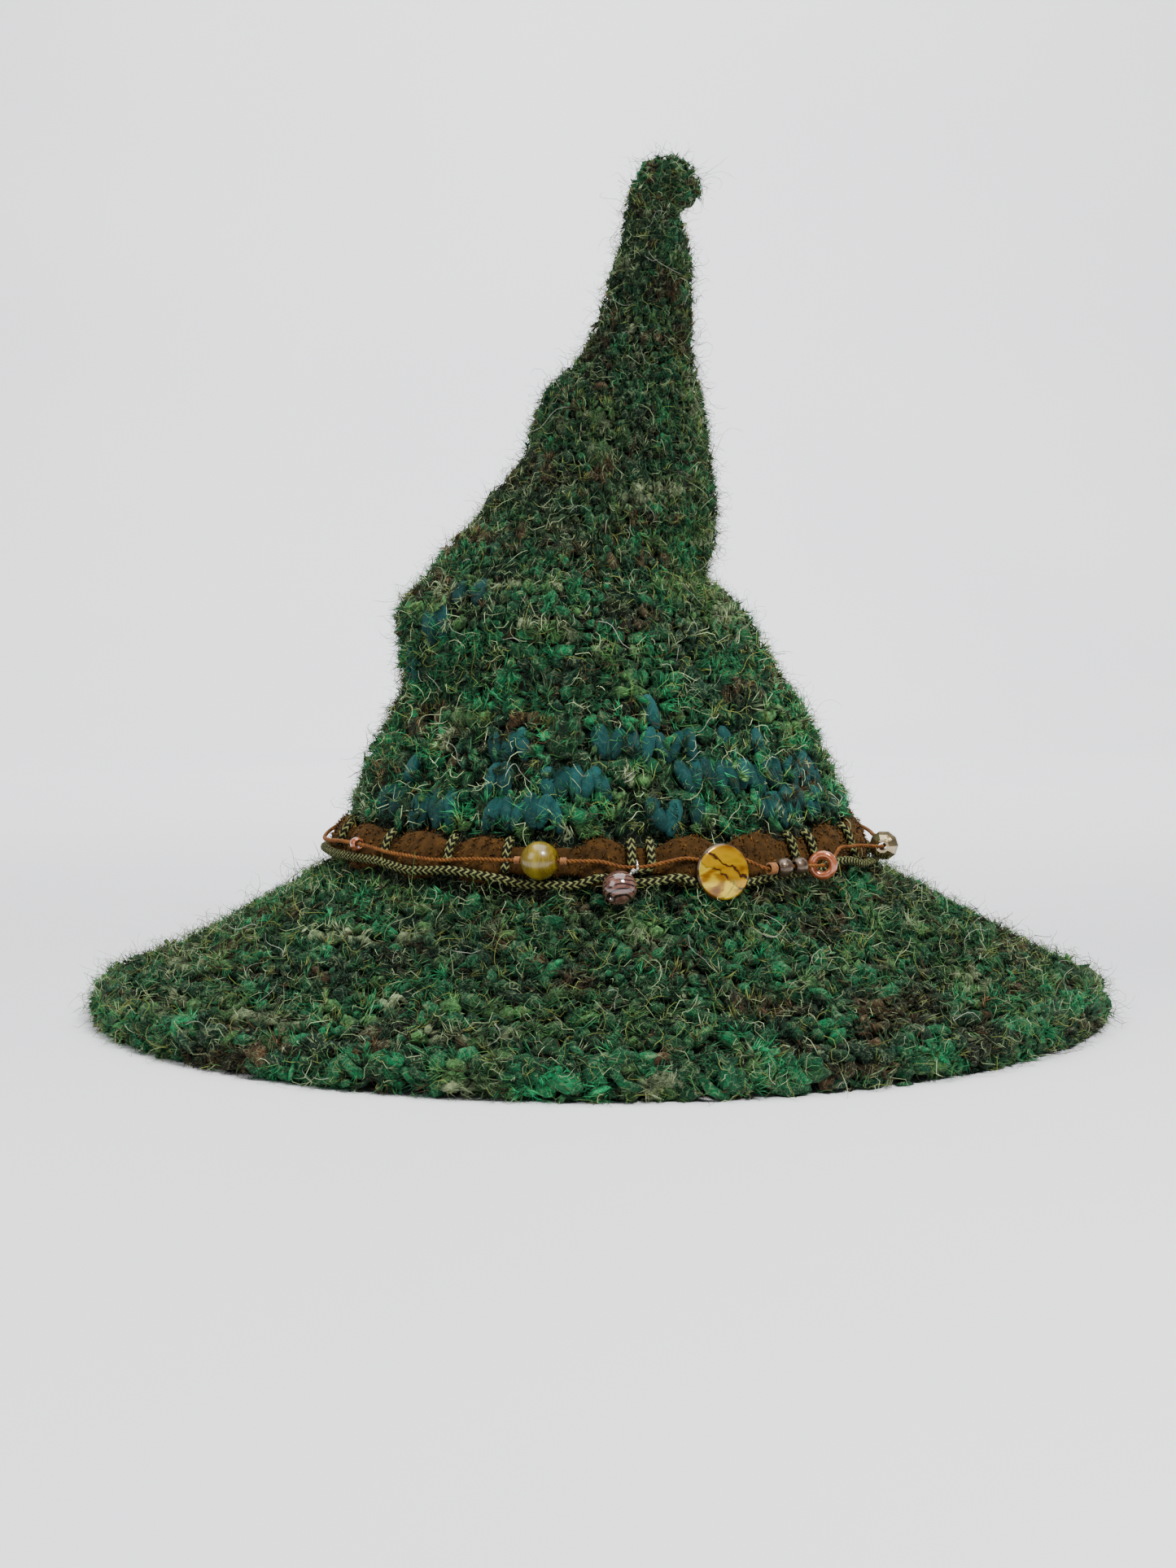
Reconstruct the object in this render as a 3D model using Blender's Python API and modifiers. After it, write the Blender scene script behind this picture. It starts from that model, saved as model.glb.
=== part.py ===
"""Hand-knitted wizard hat with a curled peak, a wide brim and a beaded trim band.

Metres, +Z up. The hat rests on its rolled rim, its front faces -Y, and the origin is the middle of the
brim on the surface that it rests on. Angles round the hat are in degrees from the front, growing towards +X.
"""

from collections import namedtuple
from math import atan2, cos, exp, pi, radians, sin, sqrt

import bmesh
import bpy
from mathutils import Matrix, Vector

MM = 0.001

# Driving sizes of the knitted fabric
WALL = 8.0 * MM
JOIN_GAP = 0.3 * MM
BRIM_RADIUS = 190.0 * MM
RIM_ROLL = 6.2 * MM
REST_WIDTH = 5.2 * MM
BRIM_TOP = 60.0 * MM
JOIN_HEIGHT = 68.0 * MM
HEAD_HALF_WIDTH = 96.0 * MM
HEAD_HALF_DEPTH = 104.0 * MM
FOOT_SLOPE = 0.346

# Roundness of the meshes
CROWN_SIDES = 36
CROWN_RINGS = 33
HOLLOW_RINGS = 14
HOLLOW_TOP = 262.0 * MM
BRIM_SIDES = 48
BEAD_STEPS = 14
SMALL_BEAD_STEPS = 12

# The crown and peak, a row for each section, in millimetres. turn is how far the section has tipped over
# towards +X, in degrees, where the peak curls.
Section = namedtuple("Section", "height x y half_width half_depth turn")
CROWN_SECTIONS = (
    Section(81.0, 0.5, 0.0, 91.4, 99.4, 0),
    Section(94.0, -0.5, 0.5, 85.5, 94.5, 0),
    Section(114.0, -0.5, 1.0, 77.0, 87.5, 0),
    Section(123.0, -2.5, 1.5, 72.5, 84.5, 0),
    Section(139.0, -6.5, 2.5, 66.5, 80.0, 0),
    Section(149.0, -8.5, 3.0, 64.0, 75.5, 0),
    Section(156.0, -11.0, 3.5, 60.0, 70.0, 0),
    Section(162.0, -12.0, 4.0, 54.5, 64.5, 0),
    Section(168.0, -11.0, 4.5, 51.0, 59.5, 0),
    Section(176.0, -8.0, 5.0, 49.0, 54.5, 0),
    Section(184.0, -3.5, 6.0, 44.5, 49.0, 0),
    Section(191.0, 0.0, 6.5, 42.0, 45.0, 0),
    Section(205.0, 5.0, 7.5, 36.0, 39.0, 0),
    Section(233.0, 8.5, 9.5, 28.5, 30.5, 0),
    Section(247.0, 13.0, 10.0, 21.0, 23.0, 0),
    Section(260.0, 16.5, 10.5, 16.5, 18.5, 0),
    Section(275.0, 18.5, 11.0, 14.5, 15.5, 0),
    Section(289.0, 20.8, 11.0, 12.0, 12.8, 0),
    Section(302.0, 20.3, 11.0, 9.2, 9.8, 0),
    Section(310.5, 19.6, 11.0, 7.4, 7.8, 6),
    Section(317.0, 21.4, 10.8, 6.4, 6.6, 38),
    Section(320.2, 26.0, 10.5, 5.7, 6.0, 88),
    Section(317.4, 30.6, 10.2, 5.4, 5.8, 132),
    Section(312.6, 32.6, 10.0, 4.9, 5.2, 168),
    Section(308.6, 32.8, 9.8, 3.6, 3.8, 180),
)
PEAK_CAP = 1.6 * MM
PEAK_CAP_SHARE = 0.55

# Dents and folds of the crown, a row for each, in millimetres and degrees. push is outwards.
Fold = namedtuple("Fold", "height angle spread_height spread_angle push")
FOLDS = (
    Fold(152.0, -95, 9.0, 48, 2.5),
    Fold(125.0, -95, 6.5, 52, -3.5),
    Fold(167.0, 95, 7.0, 45, -2.5),
    Fold(158.0, -20, 9.0, 40, 3.0),
    Fold(141.0, 12, 8.0, 50, -2.5),
    Fold(154.0, 185, 10.0, 45, 4.5),
    Fold(129.0, 185, 8.0, 50, -3.5),
    Fold(197.0, -90, 6.0, 50, 1.8),
    Fold(212.0, -85, 6.0, 45, -1.6),
    Fold(236.0, -70, 7.0, 50, 1.5),
)

# The brim's upper side from the crown wall (share 0) to the rim (share 1), heights in millimetres.
BrimRow = namedtuple("BrimRow", "share height")
BRIM_PROFILE = (
    BrimRow(0.0, 60.0),
    BrimRow(0.03, 56.8),
    BrimRow(0.10, 52.2),
    BrimRow(0.25, 44.6),
    BrimRow(0.45, 35.4),
    BrimRow(0.65, 26.2),
    BrimRow(0.84, 17.6),
)
RIM_ARC_DEG = (76, 40, 0, -38)
RIM_HEEL_IN = 5.9 * MM
RIM_HEEL_UP = 2.8 * MM
RIM_WAVE_TWO = 1.5 * MM
RIM_WAVE_FOUR = 1.5 * MM
BRIM_WAVE = 1.5 * MM
BRIM_WAVES_ROUND = 5

# The trim band. Lobes of the strip between its bindings, fullness 0 to 1.
STRIP_HEIGHT = 68.0 * MM
STRIP_GAP = 0.7 * MM
STRIP_FULL_HALF = 7.9 * MM
STRIP_FULL_THICK = 5.6 * MM
STRIP_PINCHED_HALF = 4.7 * MM
STRIP_PINCHED_THICK = 3.0 * MM
STRIP_SECTION_DEG = (-90, -52, -18, 18, 52, 90)
STRIP_EDGE_THICK = 0.22
STRIP_BACK_HALF = 0.62
STRIP_BULGE_POWER = 0.7
Lobe = namedtuple("Lobe", "start end fullness")
FRONT_LOBES = (
    Lobe(-50, -32, 0.95),
    Lobe(-32, -18, 0.85),
    Lobe(-18, -5.5, 0.0),
    Lobe(-5.5, 5.5, 1.0),
    Lobe(5.5, 10.5, 0.0),
    Lobe(10.5, 26, 1.0),
    Lobe(26, 42, 1.0),
    Lobe(42, 50, 0.0),
    Lobe(50, 66, 0.95),
    Lobe(66, 86, 0.8),
)
BACK_LOBE_COUNT = 10
BACK_LOBE_FULLNESS = 0.9
LOBE_STEPS = (0.09, 0.3, 0.7, 0.91)

BRAID_DIAMETER = 3.4 * MM
RUST_DIAMETER = 2.1 * MM
TOUCH_GAP = 0.3 * MM

# Routes of the cords, a row for each turning point, in degrees and millimetres. out is the distance of the
# cord's middle from the crown wall.
CordRow = namedtuple("CordRow", "angle height out")
BRAID_ROUTE = (
    CordRow(-50, 65.0, 7.6),
    CordRow(-40, 63.2, 8.3),
    CordRow(-29, 64.4, 8.3),
    CordRow(-21, 62.6, 7.0),
    CordRow(-16.5, 60.6, 6.1),
    CordRow(-5, 60.6, 6.2),
    CordRow(0, 63.4, 8.3),
    CordRow(5, 61.8, 7.4),
    CordRow(10, 61.8, 7.4),
    CordRow(15, 63.0, 8.3),
    CordRow(20, 59.6, 6.4),
    CordRow(27, 59.6, 6.4),
    CordRow(35, 61.4, 7.1),
    CordRow(46, 61.8, 5.9),
    CordRow(56, 64.2, 8.3),
    CordRow(68, 60.8, 7.3),
    CordRow(82, 60.4, 7.3),
)
RUST_ROUTE = (
    CordRow(-61, 69.8, 9.1),
    CordRow(-55, 69.8, 9.1),
    CordRow(-44, 68.4, 8.9),
    CordRow(-34, 67.6, 8.9),
    CordRow(-24, 68.8, 8.9),
    CordRow(-15.5, 69.2, 11.0),
    CordRow(-7.3, 69.2, 11.0),
    CordRow(-1, 69.0, 8.5),
    CordRow(4.5, 67.2, 10.2),
    CordRow(9, 67.2, 10.2),
    CordRow(15, 69.6, 8.4),
    CordRow(19, 68.6, 7.8),
    CordRow(27.8, 68.6, 7.8),
    CordRow(31.4, 65.0, 12.5),
    CordRow(41.2, 65.0, 12.5),
    CordRow(43.8, 64.4, 12.9),
    CordRow(47.4, 64.4, 12.9),
    CordRow(56, 68.6, 9.0),
    CordRow(66, 68.0, 9.0),
    CordRow(70.5, 66.4, 13.6),
    CordRow(79.5, 66.4, 13.6),
    CordRow(88, 68.0, 9.0),
)
BACK_CORD_ROWS = 8
BACK_BRAID_HEIGHTS = (64.4, 62.4)
BACK_BRAID_OUT = 8.0
BACK_RUST_HEIGHTS = (67.4, 69.2)
BACK_RUST_OUT = 9.3
BRAID_POINTS = 72
RUST_FRONT_POINTS = 50
RUST_BACK_POINTS = 18
RUST_BACK_START = 90
RUST_BACK_END = 296

# Single binding loops over the strip, by angle
WRAP_ANGLES = (-50, -32, -19, 43, 49, 66, 108.4, 153.2, 198, 242.8, 287.6)
HITCH_ANGLE = 8.0
HITCH_HALF_ANGLE = 1.9
HITCH_LIFT = 1.1 * MM
HITCH_BEND = 1.0 * MM
HITCH_DIP = 0.6 * MM
HITCH_TURN_SHARE = 0.45

# How a binding bends over the strip's upper edge
WRAP_OFF_WALL = 0.2 * MM
WRAP_END_LIFT = 0.6 * MM
WRAP_OVER_DIP = 0.2 * MM
WRAP_OVER_SHARE = 0.55
WRAP_EDGE_DIP = 0.4 * MM
WRAP_EDGE_IN = 0.1 * MM
WRAP_FACE_SHARE = 0.4

# Beads
OLIVE_ANGLE = -11.4
OLIVE_DIAMETER = 13.5 * MM
OLIVE_LENGTH = 12.4 * MM
STRIPED_DIAMETER = 12.0 * MM
STRIPED_LENGTH = 11.4 * MM
STRIPED_HOLE = 1.7 * MM
WIRE_DIAMETER = 0.9 * MM
WIRE_EYE = 2.0 * MM
WIRE_EYE_OPEN_DEG = 50
WIRE_ANGLE = 6.6
WIRE_SIDES_RESOLUTION = 1
STRIPED_HANG = (-6.0 * MM, -7.6 * MM, -6.4 * MM)
DISC_ANGLE = 23.0
DISC_HEIGHT = 64.5 * MM
DISC_DIAMETER = 20.4 * MM
DISC_EDGE = 1.4 * MM
DISC_DOME = 1.5 * MM
DISC_STUB_DIAMETER = 4.4 * MM
DISC_STUB_LENGTH = 3.6 * MM
DISC_STUB_HALF_ANGLE = 1.3
DISC_TIP_DEG = 8.0
KNOT_ANGLE = 33.0
KNOT_DIAMETER = 4.8 * MM
KNOT_LENGTH = 2.6 * MM
BRONZE_1_ANGLE = 35.7
BRONZE_1_DIAMETER = 6.9 * MM
BRONZE_2_ANGLE = 39.6
BRONZE_2_DIAMETER = 6.3 * MM
RING_ANGLE = 45.7
RING_OUTER = 10.6 * MM
RING_THICK = 3.1 * MM
RING_TURN_DEG = 34.0
FACETED_ANGLE = 75.0
FACETED_DIAMETER = 11.0 * MM
FACETED_LENGTH = 9.6 * MM
FACETED_SIDES = 10
COPPER_ANGLE = -58.0
COPPER_DIAMETER = 4.9 * MM
STRUNG_HOLE = RUST_DIAMETER + 1.0 * MM
HOLE_EDGE = 0.3 * MM
HOLE_RIM = 0.4 * MM
DISC_STEPS = 16
DISC_DOME_SHARES = (0.35, 0.68, 0.93)
DISC_GIRDLE_SHARE = 0.2
DISC_BACK_SHARE = 0.94
TABLE_SHARE = 0.46
FACET_SHARE = 0.80
FACET_UP_SHARE = 0.70
GIRDLE_SHARE = 0.24
RING_SEGMENTS = 16
RING_TUBE_SEGMENTS = 8
TINY_BEAD_STEPS = 10
BRONZE_LENGTH_SHARE = 0.92
COPPER_LENGTH_SHARE = 0.8
WIRE_EYE_STEPS = 8
WIRE_END = 1.0 * MM
WIRE_NECK = 0.7 * MM


def start_scene():
    """Empty the scene and make the hat's own collection."""
    for obj in list(bpy.data.objects):
        bpy.data.objects.remove(obj, do_unlink=True)
    collection = bpy.data.collections.new("wizard_hat")
    bpy.context.scene.collection.children.link(collection)
    return collection


def make_material(name, color, roughness, metallic=0.0):
    material = bpy.data.materials.new(name)
    material.use_nodes = True
    shader = material.node_tree.nodes["Principled BSDF"]
    shader.inputs["Base Color"].default_value = (*color, 1.0)
    shader.inputs["Roughness"].default_value = roughness
    shader.inputs["Metallic"].default_value = metallic
    return material


def add_object(collection, name, data, material, smooth=True):
    """A named object of a mesh or curve, with its own material."""
    obj = bpy.data.objects.new(name, data)
    collection.objects.link(obj)
    data.materials.append(material)
    if smooth and isinstance(data, bpy.types.Mesh):
        data.shade_smooth()
    return obj


def smoothstep(t):
    return t * t * (3.0 - 2.0 * t)


def foot_half_sizes(height):
    """Half width and half depth of the crown wall's outside near its foot, where it is a plain cone."""
    drop = (height - JOIN_HEIGHT) * FOOT_SLOPE
    return HEAD_HALF_WIDTH - drop, HEAD_HALF_DEPTH - drop


def band_point(angle_deg, height, out):
    """A point that stands off the foot of the crown by out."""
    half_width, half_depth = foot_half_sizes(height)
    angle = radians(angle_deg)
    outward = band_outward(angle_deg)
    return Vector((half_width * sin(angle), -half_depth * cos(angle), height)) + outward * out


def band_outward(angle_deg):
    angle = radians(angle_deg)
    return Vector((sin(angle) / HEAD_HALF_WIDTH, -cos(angle) / HEAD_HALF_DEPTH, 0.0)).normalized()


def catmull_rom(a, b, c, d, t):
    return 0.5 * (2 * b + (c - a) * t + (2 * a - 5 * b + 4 * c - d) * t * t + (3 * b - a - 3 * c + d) * t**3)


def section_at(rows, position):
    """The section at a fractional row number, smoothly between its neighbours."""
    index = min(int(position), len(rows) - 2)
    near = [rows[min(max(index + k, 0), len(rows) - 1)] for k in (-1, 0, 1, 2)]
    t = position - index
    return Section(*(catmull_rom(*values, t) for values in zip(*near)))


def fold_push(height, angle_deg):
    """How far the folds push the wall outwards at one place, in metres."""
    total = 0.0
    for fold in FOLDS:
        around = (angle_deg - fold.angle + 180.0) % 360.0 - 180.0
        up = (height - fold.height) / fold.spread_height
        total += fold.push * exp(-up * up - (around / fold.spread_angle) ** 2)
    return total * MM


def crown_ring(section, inset):
    """One ring of the crown. inset is how far it lies inside the outer surface, in metres."""
    turn = radians(section.turn)
    across = Vector((cos(turn), 0.0, -sin(turn)))
    centre = Vector((section.x, section.y, section.height)) * MM
    ring = []
    for k in range(CROWN_SIDES):
        angle_deg = 360.0 * k / CROWN_SIDES
        angle = radians(angle_deg)
        push = fold_push(section.height, angle_deg) - inset
        half_width = section.half_width * MM + push
        half_depth = section.half_depth * MM + push
        depth = Vector((0.0, -half_depth * cos(angle), 0.0))
        ring.append(centre + across * (half_width * sin(angle)) + depth)
    return ring


def loft(name, rings, ends="caps"):
    """A closed mesh through rings of equal length. ends is caps, or loop: the last ring meets the first."""
    bm = bmesh.new()
    loops = [[bm.verts.new(point) for point in ring] for ring in rings]
    pairs = list(zip(loops, loops[1:]))
    if ends == "loop":
        pairs.append((loops[-1], loops[0]))
    for low, high in pairs:
        for k in range(len(low)):
            after = (k + 1) % len(low)
            bm.faces.new((low[k], low[after], high[after], high[k]))
    if ends == "caps":
        bm.faces.new(reversed(loops[0]))
        bm.faces.new(loops[-1])
    bmesh.ops.recalc_face_normals(bm, faces=bm.faces)
    mesh = bpy.data.meshes.new(name)
    bm.to_mesh(mesh)
    bm.free()
    return mesh


def build_crown(collection):
    """The crown with its peak: down the hollow, round the foot, up the outside and over the curl."""
    foot_height = JOIN_HEIGHT + JOIN_GAP
    foot_width, foot_depth = foot_half_sizes(foot_height)
    rows = (Section(foot_height / MM, 0.0, 0.0, foot_width / MM, foot_depth / MM, 0), *CROWN_SECTIONS)
    hollow_rows = [row for row in rows if row.height * MM < HOLLOW_TOP]
    hollow_last = len(hollow_rows) - 1
    rings = []
    for k in reversed(range(HOLLOW_RINGS)):
        rings.append(crown_ring(section_at(rows, hollow_last * k / (HOLLOW_RINGS - 1)), WALL))
    for k in range(CROWN_RINGS):
        rings.append(crown_ring(section_at(rows, (len(rows) - 1) * k / (CROWN_RINGS - 1)), 0.0))
    tip = rows[-1]
    cap = tip._replace(
        height=tip.height - PEAK_CAP / MM,
        half_width=tip.half_width * PEAK_CAP_SHARE,
        half_depth=tip.half_depth * PEAK_CAP_SHARE,
    )
    rings.append(crown_ring(cap, 0.0))
    material = make_material("green_knit", (0.035, 0.105, 0.06), 0.95)
    return add_object(collection, "crown", loft("crown", rings), material)


def rim_radius(angle_deg):
    angle = radians(angle_deg)
    return BRIM_RADIUS + RIM_WAVE_TWO * cos(2 * angle) + RIM_WAVE_FOUR * cos(4 * angle)


def brim_outline(angle_deg):
    """The brim's section at one angle, as distances from the crown wall's foot ellipse and heights."""
    foot_width, foot_depth = foot_half_sizes(BRIM_TOP)
    angle = radians(angle_deg)
    foot = 1.0 / sqrt((sin(angle) / foot_width) ** 2 + (cos(angle) / foot_depth) ** 2)
    reach = rim_radius(angle_deg) - RIM_ROLL - foot
    rim_middle = rim_radius(angle_deg) - RIM_ROLL
    join_drop = (JOIN_HEIGHT - BRIM_TOP) * FOOT_SLOPE
    upper = [(foot - join_drop, JOIN_HEIGHT)]
    for row in BRIM_PROFILE:
        wave = 4.0 * row.share * (1.0 - row.share) * BRIM_WAVE * sin(BRIM_WAVES_ROUND * angle)
        upper.append((foot + row.share * reach, row.height * MM + wave))
    lower = [(upper[0][0] - WALL, JOIN_HEIGHT)]
    for before, here, after in zip(upper, upper[1:], upper[2:]):
        run, rise = after[0] - before[0], after[1] - before[1]
        length = sqrt(run * run + rise * rise)
        lower.append((here[0] + rise / length * WALL, here[1] - run / length * WALL))
    arc = [
        (rim_middle + RIM_ROLL * cos(radians(a)), RIM_ROLL + RIM_ROLL * sin(radians(a))) for a in RIM_ARC_DEG
    ]
    rest = [(rim_middle + REST_WIDTH / 2, 0.0), (rim_middle - REST_WIDTH / 2, 0.0)]
    heel = [(rim_middle - RIM_HEEL_IN, RIM_HEEL_UP)]
    return upper + arc + rest + heel + lower[:0:-1] + lower[:1]


def build_brim(collection):
    rings = []
    for k in range(BRIM_SIDES):
        angle_deg = 360.0 * k / BRIM_SIDES
        angle = radians(angle_deg)
        rings.append([(r * sin(angle), -r * cos(angle), z) for r, z in brim_outline(angle_deg)])
    material = make_material("green_knit_brim", (0.03, 0.115, 0.06), 0.95)
    return add_object(collection, "brim", loft("brim", rings, "loop"), material)


def all_lobes():
    """The measured lobes at the front and equal ones round the back."""
    start, end = FRONT_LOBES[-1].end, FRONT_LOBES[0].start + 360
    step = (end - start) / BACK_LOBE_COUNT
    starts = [start + k * step for k in range(BACK_LOBE_COUNT)]
    return (*FRONT_LOBES, *(Lobe(angle, angle + step, BACK_LOBE_FULLNESS) for angle in starts))


def strip_steps():
    """The strip's sections as angle, half height and thickness: full inside a lobe, pinched at its ends."""
    steps = []
    for lobe in all_lobes():
        for along in LOBE_STEPS:
            swell = 0.0 if along in (LOBE_STEPS[0], LOBE_STEPS[-1]) else lobe.fullness * sqrt(sin(pi * along))
            half = STRIP_PINCHED_HALF + (STRIP_FULL_HALF - STRIP_PINCHED_HALF) * swell
            thick = STRIP_PINCHED_THICK + (STRIP_FULL_THICK - STRIP_PINCHED_THICK) * swell
            if lobe.fullness > 0 or along in (LOBE_STEPS[0], LOBE_STEPS[-1]):
                steps.append((lobe.start + (lobe.end - lobe.start) * along, half, thick))
    return steps


def strip_sizes(angle_deg):
    """Half height and thickness of the strip at any angle, straight between its sections."""
    steps = strip_steps()
    first = steps[0][0]
    steps.append((first + 360, *steps[0][1:]))
    angle_deg = (angle_deg - first) % 360.0 + first
    for here, there in zip(steps, steps[1:]):
        if here[0] <= angle_deg <= there[0]:
            t = (angle_deg - here[0]) / (there[0] - here[0])
            return here[1] + (there[1] - here[1]) * t, here[2] + (there[2] - here[2]) * t
    raise ValueError(f"no section of the strip at {angle_deg}")


def build_band_strip(collection):
    rings = []
    for angle_deg, half, thick in strip_steps():
        ring = []
        for a in STRIP_SECTION_DEG:
            swell = max(cos(radians(a)), 0.0) ** STRIP_BULGE_POWER
            out = STRIP_GAP + thick * (STRIP_EDGE_THICK + (1.0 - STRIP_EDGE_THICK) * swell)
            ring.append(band_point(angle_deg, STRIP_HEIGHT + half * sin(radians(a)), out))
        for side in (STRIP_BACK_HALF, -STRIP_BACK_HALF):
            ring.append(band_point(angle_deg, STRIP_HEIGHT + half * side, STRIP_GAP))
        rings.append(ring)
    material = make_material("brown_pile", (0.085, 0.035, 0.012), 1.0)
    return add_object(collection, "band_strip", loft("band_strip", rings, "loop"), material)


def cord_curve(name, points, diameter, closed, resolution=2):
    """A round cord through its points, with filled ends if it isn't a loop."""
    curve = bpy.data.curves.new(name, "CURVE")
    curve.dimensions = "3D"
    curve.bevel_depth = diameter / 2
    curve.bevel_resolution = resolution
    curve.use_fill_caps = True
    spline = curve.splines.new("POLY")
    spline.points.add(len(points) - 1)
    for spot, point in zip(spline.points, points):
        spot.co = (*point, 1.0)
    spline.use_cyclic_u = closed
    return curve


def full_route(front_rows, back_heights, back_out):
    """The front's rows, then rows that take the plain way round the back, then the first row again."""
    start, end = front_rows[-1].angle, front_rows[0].angle + 360
    rows = list(front_rows)
    for k in range(1, BACK_CORD_ROWS + 1):
        angle = start + (end - start) * k / (BACK_CORD_ROWS + 1)
        rows.append(CordRow(angle, back_heights[k % 2], back_out))
    first = front_rows[0]
    rows.append(first._replace(angle=first.angle + 360))
    return rows


def route_point(rows, angle_deg):
    """The cord's middle at an angle. It eases from row to row, so it lies level at each."""
    angle_deg = (angle_deg - rows[0].angle) % 360.0 + rows[0].angle
    for here, there in zip(rows, rows[1:]):
        if here.angle <= angle_deg <= there.angle:
            t = smoothstep((angle_deg - here.angle) / (there.angle - here.angle))
            height = (here.height + (there.height - here.height) * t) * MM
            out = (here.out + (there.out - here.out) * t) * MM
            return band_point(angle_deg, height, out)
    raise ValueError(f"no row of the route at {angle_deg}")


def build_braided_cord(collection, braid):
    rows = full_route(BRAID_ROUTE, BACK_BRAID_HEIGHTS, BACK_BRAID_OUT)
    points = [route_point(rows, 360.0 * k / BRAID_POINTS) for k in range(BRAID_POINTS)]
    return add_object(
        collection, "braided_cord", cord_curve("braided_cord", points, BRAID_DIAMETER, True), braid
    )


def rust_rows():
    return full_route(RUST_ROUTE, BACK_RUST_HEIGHTS, BACK_RUST_OUT)


def build_rust_cord(collection):
    rows = rust_rows()
    front = RUST_BACK_END - 360
    angles = [front + (RUST_BACK_START - front) * k / RUST_FRONT_POINTS for k in range(RUST_FRONT_POINTS)]
    back_step = (RUST_BACK_END - RUST_BACK_START) / RUST_BACK_POINTS
    angles += [RUST_BACK_START + back_step * k for k in range(RUST_BACK_POINTS)]
    points = [route_point(rows, angle) for angle in angles]
    material = make_material("rust_twist", (0.35, 0.11, 0.02), 0.6)
    return add_object(collection, "rust_cord", cord_curve("rust_cord", points, RUST_DIAMETER, True), material)


def wrap_points(angle_deg, low_end):
    """A binding's route, from behind the strip's upper edge down over its face."""
    half, thick = strip_sizes(angle_deg)
    clear = BRAID_DIAMETER / 2 + TOUCH_GAP
    top = STRIP_HEIGHT + half
    face = STRIP_GAP + thick + clear
    near_wall = clear + WRAP_OFF_WALL
    return [
        band_point(angle_deg, top + clear + WRAP_END_LIFT, near_wall),
        band_point(angle_deg, top + clear - WRAP_OVER_DIP, (near_wall + face) * WRAP_OVER_SHARE),
        band_point(angle_deg, top - WRAP_EDGE_DIP, face - WRAP_EDGE_IN),
        band_point(angle_deg, STRIP_HEIGHT + half * WRAP_FACE_SHARE, face),
        band_point(angle_deg, low_end, face),
    ]


def build_wraps(collection, braid):
    """Single bindings all round, and the doubled one that hangs over the strip at the front."""
    rows = full_route(BRAID_ROUTE, BACK_BRAID_HEIGHTS, BACK_BRAID_OUT)
    for number, angle in enumerate(WRAP_ANGLES, 1):
        low_end = route_point(rows, angle).z + BRAID_DIAMETER / 2 + TOUCH_GAP
        name = f"cord_wrap_{number:02d}"
        add_object(collection, name, cord_curve(name, wrap_points(angle, low_end), BRAID_DIAMETER, False), braid)
    bottom = route_point(rows, HITCH_ANGLE).z + BRAID_DIAMETER + HITCH_LIFT
    left = wrap_points(HITCH_ANGLE - HITCH_HALF_ANGLE, bottom + HITCH_BEND)
    right = wrap_points(HITCH_ANGLE + HITCH_HALF_ANGLE, bottom + HITCH_BEND)
    _, thick = strip_sizes(HITCH_ANGLE)
    face = STRIP_GAP + thick + BRAID_DIAMETER / 2 + TOUCH_GAP
    turn_half = HITCH_TURN_SHARE * HITCH_HALF_ANGLE
    middle = [band_point(HITCH_ANGLE + side, bottom - HITCH_DIP, face) for side in (-turn_half, turn_half)]
    hitch = cord_curve("cord_hitch", left + middle + right[::-1], BRAID_DIAMETER, False)
    add_object(collection, "cord_hitch", hitch, braid)


def turned(collection, name, profile, steps, material, closed, smooth=True):
    """A turned solid about its own Z. A closed profile is a drilled bead's, an open one ends on the axis."""
    mesh = bpy.data.meshes.new(name)
    last = len(profile) if closed else len(profile) - 1
    edges = [(k, (k + 1) % len(profile)) for k in range(last)]
    mesh.from_pydata([(r, 0.0, z) for r, z in profile], edges, [])
    obj = add_object(collection, name, mesh, material)
    screw = obj.modifiers.new("turn", "SCREW")
    screw.steps = steps
    screw.render_steps = steps
    screw.use_merge_vertices = True
    screw.merge_threshold = 0.00001
    screw.use_smooth_shade = smooth
    return obj


def bead_profile(diameter, length, hole, arc_points):
    """A drilled round bead, down its outside and back up its hole."""
    top = atan2(length / 2, sqrt(max((diameter / 2) ** 2 - (length / 2) ** 2, (hole / 2 + HOLE_RIM) ** 2)))
    outer = []
    for k in range(arc_points):
        a = top - 2 * top * k / (arc_points - 1)
        outer.append((diameter / 2 * cos(a), length / 2 * sin(a) / sin(top)))
    return outer + [(hole / 2, -length / 2 + HOLE_EDGE), (hole / 2, length / 2 - HOLE_EDGE)]


def place(obj, point, axis, upright=Vector((0.0, 0.0, 1.0))):
    """Put a turned piece at a point with its own Z along axis."""
    axis = axis.normalized()
    side = upright.cross(axis).normalized()
    turn = Matrix((side, axis.cross(side), axis)).transposed()
    obj.location = point
    obj.rotation_euler = turn.to_euler()
    return obj


def strung(obj, angle_deg, turn_deg=0.0):
    """Put a bead on the rust cord, its hole along the cord, turned outwards by turn_deg about the upright."""
    rows = rust_rows()
    along = route_point(rows, angle_deg + 0.5) - route_point(rows, angle_deg - 0.5)
    axis = Matrix.Rotation(radians(turn_deg), 3, "Z") @ along
    return place(obj, route_point(rows, angle_deg), axis)


def build_olive_bead(collection):
    material = make_material("olive_lacquer", (0.30, 0.19, 0.012), 0.15)
    profile = bead_profile(OLIVE_DIAMETER, OLIVE_LENGTH, STRUNG_HOLE, 8)
    return strung(turned(collection, "olive_bead", profile, BEAD_STEPS, material, True), OLIVE_ANGLE)


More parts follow.
